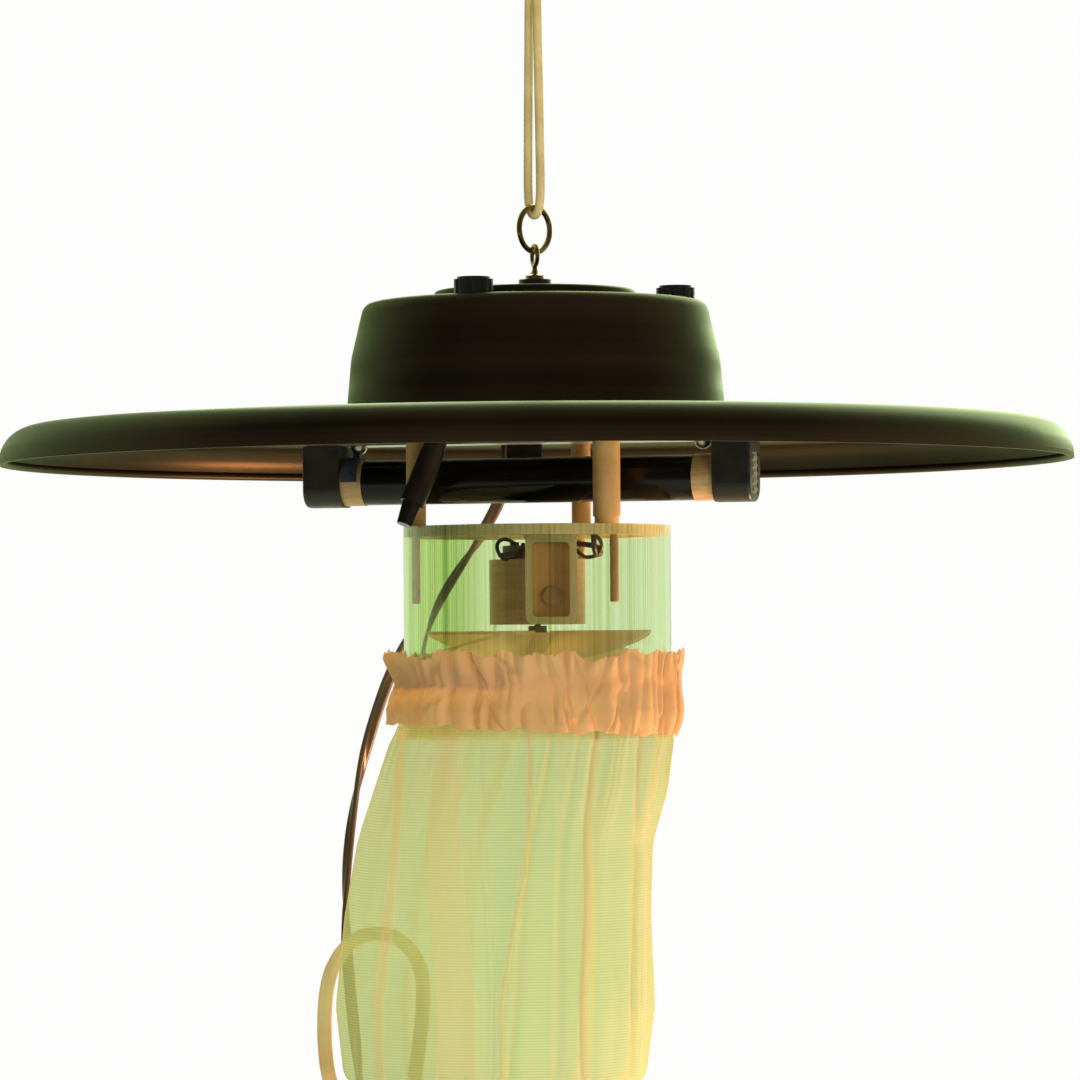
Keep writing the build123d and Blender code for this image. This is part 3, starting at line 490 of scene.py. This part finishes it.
def glow_through(material, colour, share):
    """Mixes in a share of light that comes through from behind, and returns the mixed shader."""
    tree = material.node_tree
    shader = tree.nodes["Principled BSDF"]
    through = node(material, "ShaderNodeBsdfTranslucent")
    if isinstance(colour, tuple):
        through.inputs["Color"].default_value = (*colour, 1.0)
    else:
        tree.links.new(colour, through.inputs["Color"])
    mix = node(material, "ShaderNodeMixShader", [(shader.outputs[0], 1), (through.outputs[0], 2)])
    mix.inputs[0].default_value = share
    tree.links.new(mix.outputs[0], tree.nodes["Material Output"].inputs[0])
    return mix


NET_ROW = 0.9 * MM  # height of the net's level rows
NET_THREADS = 430.0  # upright threads round the bag


def make_net_cloth():
    """Sheer net: fine level rows, finer upright threads, denser and warmer where it is folded, and green as
    painted light where the garden behind shows through.
    """
    material = plain("net", (0.70, 0.74, 0.32), 0.7, Sheen_Weight=0.1)
    x, y, z, vector = position(material)
    wobble = calc(material, "MULTIPLY", noise(material, vector, 60.0, 2.0), 2.4)
    level = calc(material, "MULTIPLY", z, 2 * math.pi / NET_ROW)
    rows = calc(material, "SINE", calc(material, "ADD", level, wobble))
    angle = calc(material, "ARCTAN2", y, x)
    threads = calc(material, "SINE", calc(material, "MULTIPLY", angle, NET_THREADS))
    fold = node(material, "ShaderNodeAttribute", attribute_name="fold").outputs["Fac"]
    cloud = noise(material, vector, 22.0, 3.0)
    tint = blend_of(material, fold, 0.8, cloud, 0.35)
    # painted light: the green stops stand in for the garden's light through the thin cloth; the warm stop is
    # the denser cloth where it is folded
    colours = ramp(
        material, tint, (0.10, (0.54, 0.65, 0.37)), (0.36, (0.65, 0.69, 0.44)), (1.0, (0.77, 0.57, 0.35)))
    feed(material, "Base Color", colours)
    glow = glow_through(material, colours, 0.5)
    solid = calc(material, "ADD", 0.46, calc(material, "MULTIPLY", rows, 0.055))
    solid = calc(material, "ADD", solid, calc(material, "MULTIPLY", threads, 0.012))
    solid = calc(material, "ADD", solid, calc(material, "MULTIPLY", fold, 0.40))
    solid = calc(material, "MINIMUM", solid, 0.96)
    # painted light: the clear part is tinted green for the garden seen through the net
    clear = node(material, "ShaderNodeBsdfTransparent")
    clear.inputs["Color"].default_value = (0.80, 0.89, 0.65, 1.0)
    mix = node(material, "ShaderNodeMixShader", [(solid, 0), (clear.outputs[0], 1), (glow.outputs[0], 2)])
    material.node_tree.links.new(mix.outputs[0], material.node_tree.nodes["Material Output"].inputs[0])
    bump(material, rows, 0.15, 0.1 * MM)
    return material


def make_fan_plastic():
    """Thin pale blades that light from behind shines through."""
    material = moulded("fan_plastic", (0.74, 0.68, 0.48), (0.88, 0.82, 0.62), (0.28, 0.45), 900)
    glow_through(material, (0.94, 0.88, 0.68), 0.55)
    return material


def make_tape_cloth():
    """Thin cream tape that light comes through."""
    material = plain("tape", (0.75, 0.65, 0.44), 0.75)
    vector = position(material)[3]
    fine = noise(material, vector, 1800.0, 2.0)
    cloud = noise(material, vector, 60.0, 3.0)
    colours = ramp(material, cloud, (0.3, (0.69, 0.58, 0.38)), (0.7, (0.80, 0.72, 0.50)))
    feed(material, "Base Color", colours)
    bump(material, fine, 0.4, 0.1 * MM)
    glow_through(material, colours, 0.6)
    return material


ELASTIC_RIBS = 300.0  # round the elastic


def make_elastic():
    """Ribbed elastic band."""
    material = plain("elastic", (0.80, 0.72, 0.58), 0.8)
    x, y = position(material)[:2]
    angle = calc(material, "ARCTAN2", y, x)
    ribs = calc(material, "SINE", calc(material, "MULTIPLY", angle, ELASTIC_RIBS))
    share = calc(material, "ADD", calc(material, "MULTIPLY", ribs, 0.4), 0.5)
    # painted shade: the colour is darker along each rib's groove, where the bump sinks
    colours = ramp(material, share, (0.2, (0.55, 0.46, 0.34)), (0.8, (0.84, 0.77, 0.63)))
    feed(material, "Base Color", colours)
    bump(material, ribs, 0.6, 0.2 * MM)
    return material


BRUSHED = (1.0, 1.0, 14.0)
# name: dark colour, light colour, lowest and highest roughness, scale, and what else moulded() takes
MOULDED = {
    "brass": ((0.16, 0.10, 0.035), (0.52, 0.38, 0.16), (0.18, 0.38), 1500, {"Metallic": 1.0}),
    "black_plastic": ((0.006, 0.006, 0.006), (0.020, 0.019, 0.017), (0.30, 0.48), 1800, {}),
    "steel": ((0.34, 0.32, 0.27), (0.66, 0.63, 0.55), (0.22, 0.42), 900,
              {"stretch": BRUSHED, "Metallic": 1.0}),
    "chassis_paint": ((0.022, 0.019, 0.016), (0.048, 0.042, 0.036), (0.38, 0.55), 1200, {}),
    "black_rubber": ((0.008, 0.006, 0.005), (0.024, 0.018, 0.013), (0.28, 0.44), 1400, {}),
    "brown_lead": ((0.045, 0.024, 0.011), (0.12, 0.066, 0.030), (0.20, 0.34), 500, {}),
    "board": ((0.010, 0.07, 0.025), (0.03, 0.15, 0.05), (0.30, 0.45), 700, {}),
    "transformer": ((0.05, 0.032, 0.018), (0.14, 0.10, 0.06), (0.40, 0.60), 500, {"stretch": BRUSHED}),
    "grey_plastic": ((0.10, 0.11, 0.09), (0.20, 0.215, 0.18), (0.38, 0.55), 1500, {}),
    "clip_plastic": ((0.02, 0.03, 0.055), (0.07, 0.10, 0.16), (0.16, 0.28), 900, {}),
    "sensor_black": ((0.004, 0.004, 0.004), (0.014, 0.013, 0.012), (0.12, 0.25), 1200, {}),
    "lamp_glass": ((0.002, 0.002, 0.003), (0.007, 0.006, 0.007), (0.10, 0.20), 600,
                   {"grain": 0.02, "Specular_IOR_Level": 0.3}),
    "lamp_metal": ((0.40, 0.27, 0.12), (0.66, 0.48, 0.26), (0.34, 0.50), 900,
                   {"stretch": BRUSHED, "Metallic": 0.35}),
    "cream_plastic": ((0.46, 0.29, 0.105), (0.62, 0.42, 0.18), (0.40, 0.55), 1200, {}),
    "brown_bolt": ((0.46, 0.26, 0.13), (0.70, 0.44, 0.24), (0.25, 0.4), 900, {"Metallic": 0.4}),
    "brown_plate": ((0.50, 0.27, 0.14), (0.66, 0.38, 0.20), (0.35, 0.55), 900, {}),
    "motor_metal": ((0.50, 0.31, 0.18), (0.74, 0.50, 0.30), (0.32, 0.50), 700,
                    {"stretch": BRUSHED, "Metallic": 0.35}),
    "motor_head": ((0.30, 0.18, 0.09), (0.44, 0.28, 0.14), (0.40, 0.60), 900, {}),
    "lead_brown": ((0.045, 0.024, 0.012), (0.10, 0.058, 0.030), (0.28, 0.45), 1200, {}),
}


def make_materials():
    made = {name: moulded(name, *values, **extra) for name, (*values, extra) in MOULDED.items()}
    made.update({
        "rope": make_rope_fibre(),
        "shield_metal": make_shield_metal(),
        "clear_acrylic": make_acrylic(),
        "milky_acrylic": make_milky_acrylic(),
        "fan_plastic": make_fan_plastic(),
        "cuff_cotton": make_cuff_cotton(),
        "elastic": make_elastic(),
        "net": make_net_cloth(),
        "tape": make_tape_cloth(),
    })
    return made


# nodes whose finish differs from the rest of their slot
LOOKS = {
    "cylinder_deck": "milky_acrylic",
    "motor_bracket": "milky_acrylic",
    "clamp_bolt": "brown_bolt",
    "threaded_rods": "brown_bolt",
}


def dress_cad(materials):
    """Gives every CAD node the material of its slot in the record, or its own look."""
    for part in frame["record"]["subparts"]:
        mesh = nodes[part["node"]].data
        mesh.materials.clear()
        mesh.materials.append(materials[LOOKS.get(part["node"], part["material_slot"])])


# ---- rope ----
ROPE_D, ROPE_STEP = 3.0, 0.22
ROPE_SIDE = (math.sin(math.radians(48.0)), -math.cos(math.radians(48.0)))  # across the two strands
# the strands as (across, height), down one side of the ring and up the other
STRAND = [(-1.6, 159.5), (-2.75, 103.4), (-2.75, 82.65), (2.75, 82.65), (2.75, 103.4), (1.6, 159.5)]
ROPE_LOOP = [
    (1.6, 0.0, 166.6),
    (6.6, 0.4, 172.5),
    (8.4, 0.8, 179.5),
    (4.6, 0.4, 187.3),
    (-4.6, -0.4, 187.3),
    (-8.4, -0.8, 179.5),
    (-6.6, -0.4, 172.5),
    (-1.6, 0.0, 166.6),
]
KNOT = (0.0, 0.0, 163.0)


def make_rope(materials):
    """The rope: from its knot round the ring and up again, then through the knot to its top loop."""
    route = [(across * ROPE_SIDE[0], across * ROPE_SIDE[1], z) for across, z in STRAND] + ROPE_LOOP
    braid, step = braided(ROPE_D * MM), ROPE_STEP * MM
    rope, line = swept("rope", smooth_line(place(route)), braid, step)
    finish_piece(rope, "hanger", "rope", materials["rope"], "rope_strands", "rope_loop")
    knot, _ = swept("rope_knot_turns", knot_line(KNOT, 2.7, 1.5), braid, step, caps=False)
    finish_piece(knot, "hanger", "rope", materials["rope"], "rope_knot")


# ---- power cable ----
CABLE_W, CABLE_T = 4.2, 2.6
CABLE_TWIST = 0.105  # metres from one twist of the flat lead to the next
CABLE_ROUTE = [
    (-10.0, 46.0, 17.5),
    (-10.0, 46.0, 2.0),
    (-11.6, 50.6, -9.0),
    (-19.0, 61.0, -22.0),
    (-30.6, 76.0, -36.0),
    (-42.6, 92.0, -51.0),
    (-52.0, 104.0, -69.0),
    (-59.6, 112.4, -90.0),
    (-65.2, 117.2, -112.0),
    (-68.6, 119.6, -135.0),
    (-69.4, 120.0, -160.0),
    (-67.6, 119.4, -185.0),
    (-65.0, 118.4, -209.0),
    (-63.4, 118.0, -230.0),
]
COIL = (-41.0, 118.0, -250.0)
COIL_R, COIL_TURNS, TURN_POINTS = 22.0, 6.25, 16
LANE_GAP = 4.0  # between turns that lie side by side
HULL = 1.012  # control points lie this much further out than the line they draw
TAIL_ROUTE = [
    (-31.5, 117.0, -273.4),
    (-23.0, 114.2, -273.6),
    (-18.0, 112.4, -277.6),
    (-17.0, 112.0, -284.0),
]


def coil_points():
    """Turns of the put-away cable, wound one beside another in a round bundle."""
    lanes = [(0.0, 0.0)] + [(LANE_GAP * math.cos(a), LANE_GAP * math.sin(a)) for a in ring_angles(6)]
    points = []
    for k in range(int(COIL_TURNS * TURN_POINTS) + 1):
        lane, within = divmod(k, TURN_POINTS)
        share = max(0.0, within / TURN_POINTS * 4 - 3)
        here, after = lanes[lane], lanes[min(lane + 1, len(lanes) - 1)]
        out = here[0] + (after[0] - here[0]) * share
        back = here[1] + (after[1] - here[1]) * share
        angle = math.pi + 2 * math.pi * k / TURN_POINTS
        radius = (COIL_R + out) * HULL
        x, z = COIL[0] + radius * math.cos(angle), COIL[2] + radius * math.sin(angle)
        points.append((x, COIL[1] + back, z))
    return points


def make_cable(materials):
    """The power lead: out under the crown, down behind the bag, round its coil and to its plug."""
    line = smooth_line(place(CABLE_ROUTE + coil_points() + TAIL_ROUTE))
    flat = twin_lead(CABLE_W * MM, CABLE_T * MM, CABLE_TWIST)
    cable, line = swept("power_lead", line, flat, 1.2 * MM)
    stood_for = "power_cable", "cable_coil", "cable_tail"
    finish_piece(cable, "trap", "black_rubber", materials["brown_lead"], *stood_for)


# ---- net bag ----
# the bag's outline: height, centre x, half width, half depth
BAG_SHAPE = [
    (-82.0, -0.2, 45.1, 45.1),
    (-88.0, -0.8, 45.6, 45.6),
    (-92.0, -1.6, 46.6, 46.6),
    (-108.0, -5.0, 48.1, 47.6),
    (-126.0, -10.2, 48.2, 48.2),
    (-150.0, -12.8, 50.0, 49.0),
    (-180.0, -13.8, 52.2, 50.0),
    (-203.0, -14.0, 49.5, 46.5),
    (-220.0, -14.0, 32.0, 30.0),
    (-232.0, -14.0, 9.4, 9.4),
    (-236.0, -14.0, 7.0, 7.0),
    (-244.0, -14.0, 10.0, 9.0),
    (-258.0, -14.0, 15.0, 11.0),
]
NECK = (-14.0, 0.0, -236.0)
BAG_ROWS, BAG_COLUMNS = 140, 700
SMOOTHING = 7  # rows over which the outline's corners are rounded; odd
FREE_Z = -85.0  # the cloth is held by the cuff above this height
HIDDEN_FOLDS = 13  # on the sides and the back
PANEL_WIDTH = 2.4  # a fold of more than this half width is a doubled panel, and a narrower one a crease
SEAM_Z = -88.4  # middle of the band where the net is sewn to the cuff
FOLD_HEIGHTS = [-91.0, -121.0, -136.0, -177.0]
# front folds: x at those heights, half width, depth, and how dense the cloth is there
FRONT_FOLDS = [
    (-43.9, -47.4, -48.7, -53.5, 2.6, 0.5, 0.60),
    (-30.0, -30.6, -30.6, -27.4, 6.4, 0.6, 0.42),
    (-19.5, -18.0, -17.0, -16.0, 0.6, 0.7, 0.20),
    (-3.1, -3.4, -4.7, -12.9, 0.8, 1.8, 0.75),
    (8.0, 7.0, 6.0, 5.2, 1.8, 0.5, 0.22),
    (19.5, 16.5, 16.3, 14.8, 1.5, 2.0, 0.85),
    (34.0, 31.2, 31.8, 29.5, 1.3, 1.8, 0.75),
    (41.0, 34.6, 34.2, 33.4, 2.6, 0.5, 0.45),
]


def waves(theta, z, counts, seed):
    """A smooth seeded mix of waves round the bag, about -1 to 1."""
    rng = np.random.default_rng(seed)
    total = np.zeros(np.broadcast(theta, z).shape)
    for count in counts:
        phase, drift, slope = rng.uniform(0, 2 * math.pi), rng.uniform(40, 110), rng.uniform(-1, 1)
        total += np.cos(count * theta + phase + slope * np.sin(z / (drift * MM)))
    return total / math.sqrt(len(counts))


def pleats(theta, z, count, seed):
    """Rounded pleats with sharp valleys between them, 0 to 1, uneven in width and lean."""
    warp = 1.6 * waves(theta, z, (3, 5, 8, 13), seed) + 0.8 * waves(theta, z * 2.5, (17, 23), seed + 1)
    return np.abs(np.sin(count * theta / 2 + warp))


def make_net_bag(materials):
    """The bag: gathered at the cuff, hanging in long folds, and drawn in to its tied neck."""
    table = np.array(BAG_SHAPE)[::-1]
    top, bottom = BAG_SHAPE[0][0], BAG_SHAPE[-1][0]
    heights = np.linspace(top, bottom, BAG_ROWS)
    kernel = np.hanning(SMOOTHING) / np.hanning(SMOOTHING).sum()
    columns = []
    for k in (1, 2, 3):
        values = np.pad(np.interp(heights, table[:, 0], table[:, k]), SMOOTHING // 2, mode="edge")
        columns.append(np.convolve(values, kernel, mode="valid"))
    centre, wide, deep = (column[:, None] for column in columns)
    theta = ring_angles(BAG_COLUMNS)[None, :]
    z = heights[:, None]
    zm = z * MM
    # down runs from 0 at the top to 1 at the neck; the rest are 1 where the cloth is free, open or drawn in
    down = (z - top) / (NECK[2] - top)
    free = np.clip((FREE_Z - z) / 8.0, 0.0, 1.0)
    size = np.minimum(wide, deep)
    open_part = np.clip((size - 12.0) / 30.0, 0.0, 1.0)
    neck = np.clip(1.0 - (size - 7.0) / 34.0, 0.0, 1.0)
    # broad bulges, small gathers below the cuff, long ripples, and the deep gathers at the neck
    offset = 1.1 * waves(theta, zm, (2, 3, 5), 3) * open_part * np.clip(down * 4, 0, 1)
    offset += 0.9 * (pleats(theta, zm, 58, 11) - 0.5) * np.exp(-down / 0.14) * free
    offset += 0.45 * waves(theta, zm, (9, 12, 17, 21), 5) * open_part * free
    offset += (pleats(theta, zm * 0.2, 26, 29) - 0.55) * neck * np.minimum(0.34 * size, 5.0)
    folds = []
    for *places, width, depth, dense in FRONT_FOLDS:
        x = np.interp(-z, [-h for h in FOLD_HEIGHTS], places)
        folds.append((-np.arccos(np.clip((x - centre) / wide, -0.97, 0.97)), width, depth, dense))
    rng = np.random.default_rng(7)
    for k in range(HIDDEN_FOLDS):
        ends = np.radians(-5.0 + k * 15.0 + rng.uniform(-5, 5, 3))
        path = np.interp(down, [0.0, 0.33, 1.0], ends)
        folds.append((path, rng.uniform(0.8, 3.2), rng.uniform(0.6, 1.8), rng.uniform(0.2, 0.7)))
    fold_share = np.zeros_like(offset)
    for path, width, depth, dense in folds:
        away = (theta - path + math.pi) % (2 * math.pi) - math.pi
        away = away * size + 0.35 * np.sin(z / 13.0 + 40.0 * width)
        fade = open_part * np.clip(down * 12, 0.3, 1.0)
        panel = 1 / (1 + np.exp(np.clip((np.abs(away) - width) / 0.3, -30, 30)))
        valley = np.exp(-(away / (1.3 * width)) ** 2)
        offset += (0.5 * panel if width > PANEL_WIDTH else -depth * valley) * fade
        fold_share += dense * panel * fade
    x = centre + (wide + offset) * np.cos(theta)
    y = (deep + offset) * np.sin(theta)
    droop = 0.9 * waves(theta, zm * 0, (2, 5, 9), 41) * np.clip((down - 1.0) * 8, 0, 1)
    rows = place(np.stack([x, y, np.broadcast_to(z, x.shape) + droop], -1))
    bag = grid_piece("net_bag_cloth", rows, around=True)
    seam = np.exp(-((z - SEAM_Z) / 3.3) ** 8) * (0.8 + 0.2 * pleats(theta, zm, 150, 61))
    gathered = np.clip(neck * 1.3, 0, 0.9)
    store(bag, "fold", np.clip(fold_share + 0.42 * seam + gathered, 0.0, 1.0))
    finish_piece(bag, "bag", "net", materials["net"], "net_bag")


# ---- cuff ----
# the cuff's outline: height, radius
CUFF_PROFILE = [
    (-61.0, 49.6),
    (-65.0, 49.0),
    (-69.0, 48.1),
    (-73.0, 47.5),
    (-77.0, 47.9),
    (-82.0, 48.9),
    (-86.5, 48.6),
    (-91.0, 47.4),
]
ELASTIC_Z = -73.0
CUFF_TOP, CUFF_BOTTOM = -63.4, -88.2
CUFF_ROWS, CUFF_COLUMNS = 72, 1080
CUFF_LEAST_R = 46.2  # clear of the elastic


def crease(theta, z, count, lean, seed):
    """Slanting creases that come and go: 1 along a crease's line and 0 away from it."""
    warp = 1.7 * waves(theta, z * MM, (2, 5, 9), seed)
    line = np.sin(count / 2 * theta + z / lean + warp)
    where = np.clip(0.3 + 1.2 * waves(theta, z * 5 * MM, (4, 7, 11), seed + 1), 0.0, 1.0)
    return where * np.exp(-(line / 0.20) ** 2)


def make_cuff(materials):
    """The gathered cuff: a frill above the elastic and a puckered band below it."""
    theta = ring_angles(CUFF_COLUMNS)[None, :]
    share = np.linspace(0.0, 1.0, CUFF_ROWS)[:, None]
    still = np.zeros_like(share)
    frayed = 0.35 * waves(theta, still, (70, 120, 210), 8)
    top = CUFF_TOP + 1.4 * waves(theta, still, (4, 9, 15, 27), 2) + frayed
    bottom = CUFF_BOTTOM - 2.2 * np.cos(theta) + 0.6 * waves(theta, still, (11, 23, 37), 4)
    z = top + (bottom - top) * share
    profile = np.array(CUFF_PROFILE)[::-1]
    radius = np.interp(z, profile[:, 0], profile[:, 1])
    nip = np.exp(-((z - ELASTIC_Z + 1.2 * waves(theta, still, (3, 7, 12), 14)) / 3.4) ** 2)
    zm = z * MM
    # the elastic holds the cloth at the nip, and it stands out in puffs and creases away from it
    puffs = pleats(theta, zm * 4.0, 25, 21)
    small = pleats(theta, zm * 5.0, 47, 51)
    loose = 1 - 0.75 * nip
    radius += 2.5 * loose * (puffs - 0.62) + 0.55 * (small - 0.6)
    radius -= loose * (1.4 * crease(theta, z, 19, 7.0, 81) + 1.4 * crease(theta, z, 16, -8.0, 91))
    radius += 0.5 * waves(theta, zm, (6, 10, 19), 61)
    # away from the elastic the cuff sits a little to the left, as the bag pulls it
    shift = -1.4 * np.clip(np.abs(z - ELASTIC_Z) / 8.0, 0.0, 1.0)
    radius = np.maximum(radius, CUFF_LEAST_R - shift * np.cos(theta) + 0.35 * small)
    x = shift + radius * np.cos(theta)
    y = radius * np.sin(theta)
    rows = place(np.stack([x, y, z], -1))
    cuff = grid_piece("bag_cuff_cloth", rows, around=True)
    finish_piece(cuff, "bag", "cuff_cotton", materials["cuff_cotton"], "bag_cuff")


# ---- tape tie ----
TAPE_W, TAPE_T = 5.0, 0.9
TIE = (-24.8, 6.2, -236.0)
TIE_R = 7.6  # of the turns round the neck
TAPE_ROUTE = [
    (-27.4, 8.8, -234.5),
    (-36.0, 22.0, -229.0),
    (-44.0, 39.5, -212.0),
    (-40.6, 50.0, -191.0),
    (-39.6, 54.6, -171.0),
    (-48.6, 56.6, -159.0),
    (-62.4, 56.6, -158.6),
    (-72.4, 55.6, -170.0),
    (-74.6, 53.0, -190.0),
    (-72.2, 46.0, -212.0),
    (-58.0, 33.0, -232.0),
    (-40.0, 22.0, -243.0),
    (-33.5, 17.0, -252.0),
    (-32.0, 15.0, -267.0),
]


def make_tape(materials):
    """The flat tape that ties the bag's neck: two turns, a knot, and one long bow at the back."""
    flat = ribbon(TAPE_W * MM, TAPE_T * MM)
    route = smooth_line(place(TAPE_ROUTE))
    tape, line = swept("tie_bow", route, flat, 1.0 * MM, start=(0.0, 0.94, 0.34), keep_facing=True)
    finish_piece(tape, "bag", "tape", materials["tape"], "tie_tape")
    t = np.linspace(0.0, 1.0, 181)
    angle = math.radians(150.0) + t * math.radians(720.0)
    reach = TIE_R + 0.9 * t
    x, y, z = NECK[0] + reach * np.cos(angle), reach * np.sin(angle), NECK[2] + 1.6 - 3.2 * t
    turns = place(np.stack([x, y, z], 1))
    wrap, _ = swept("tie_turns", turns, ribbon(4.2 * MM, TAPE_T * MM), 0.8 * MM, start=(1.0, 0.0, 0.0))
    finish_piece(wrap, "bag", "tape", materials["tape"], "tie_knot")
    creased = ribbon(3.4 * MM, 1.3 * MM)
    knot, _ = swept("tie_knot_turns", knot_line(TIE, 2.6, 1.2, 1.2), creased, 0.5 * MM, caps=False)
    finish_piece(knot, "bag", "tape", materials["tape"])


# ---- small wiring ----
WIRE_D = 1.3
WIRES = {
    "brush_lead_left": [
        (-7.5, 4.0, -26.6), (-9.5, 0.0, -24.9), (-12.8, -6.0, -25.6), (-13.4, -10.0, -28.8),
        (-11.0, -12.0, -32.6), (-6.5, -12.6, -31.4), (-4.5, -12.0, -28.4), (-4.6, -10.4, -27.0),
    ],
    "brush_lead_right": [
        (7.5, -4.0, -26.4), (5.0, -6.4, -25.2), (1.0, -9.0, -25.4), (-3.4, -12.4, -28.2),
        (-8.4, -13.2, -30.4), (-12.6, -11.0, -30.6),
    ],
    "motor_lead_second": [
        (18.3, -32.4, -24.6), (21.4, -31.6, -26.4), (20.0, -27.6, -31.2), (15.8, -21.0, -32.0),
        (14.2, -14.0, -30.4), (10.8, -7.8, -27.4), (7.5, -4.4, -26.6),
    ],
    "board_lead_a": [
        (-7.0, 44.0, 29.0), (-8.0, 30.0, 30.5), (-14.0, 6.0, 29.0), (-18.0, -10.0, 26.0),
        (-20.0, -16.0, 22.8),
    ],
    "board_lead_b": [
        (-12.0, 42.5, 28.0), (-16.0, 26.0, 27.0), (-21.0, 4.0, 27.5), (-22.0, -12.0, 25.5),
        (-22.0, -22.0, 22.8),
    ],
    "lamp_lead_left": [
        (-20.0, -30.0, 22.6), (-34.0, -27.0, 24.0), (-45.0, -12.0, 21.0), (-52.0, 4.0, 18.0),
        (-53.0, 9.0, 16.2),
    ],
    "lamp_lead_right": [
        (30.0, -30.0, 22.6), (38.0, -24.0, 24.5), (46.0, -16.0, 21.0), (52.0, -12.0, 18.0),
        (53.0, -11.0, 16.2),
    ],
}


def make_wiring(materials):
    """Short leads at the motor's brushes and between the boards under the crown."""
    for name, points in WIRES.items():
        wire, _ = swept(name, smooth_line(place(points)), round_wire(WIRE_D * MM), 0.6 * MM)
        finish_piece(wire, "trap", "lead_brown", materials["lead_brown"])


make_camera()
materials = make_materials()
make_rope(materials)
make_cable(materials)
make_tape(materials)
make_net_bag(materials)
make_cuff(materials)
make_wiring(materials)
dress_cad(materials)
make_stage()
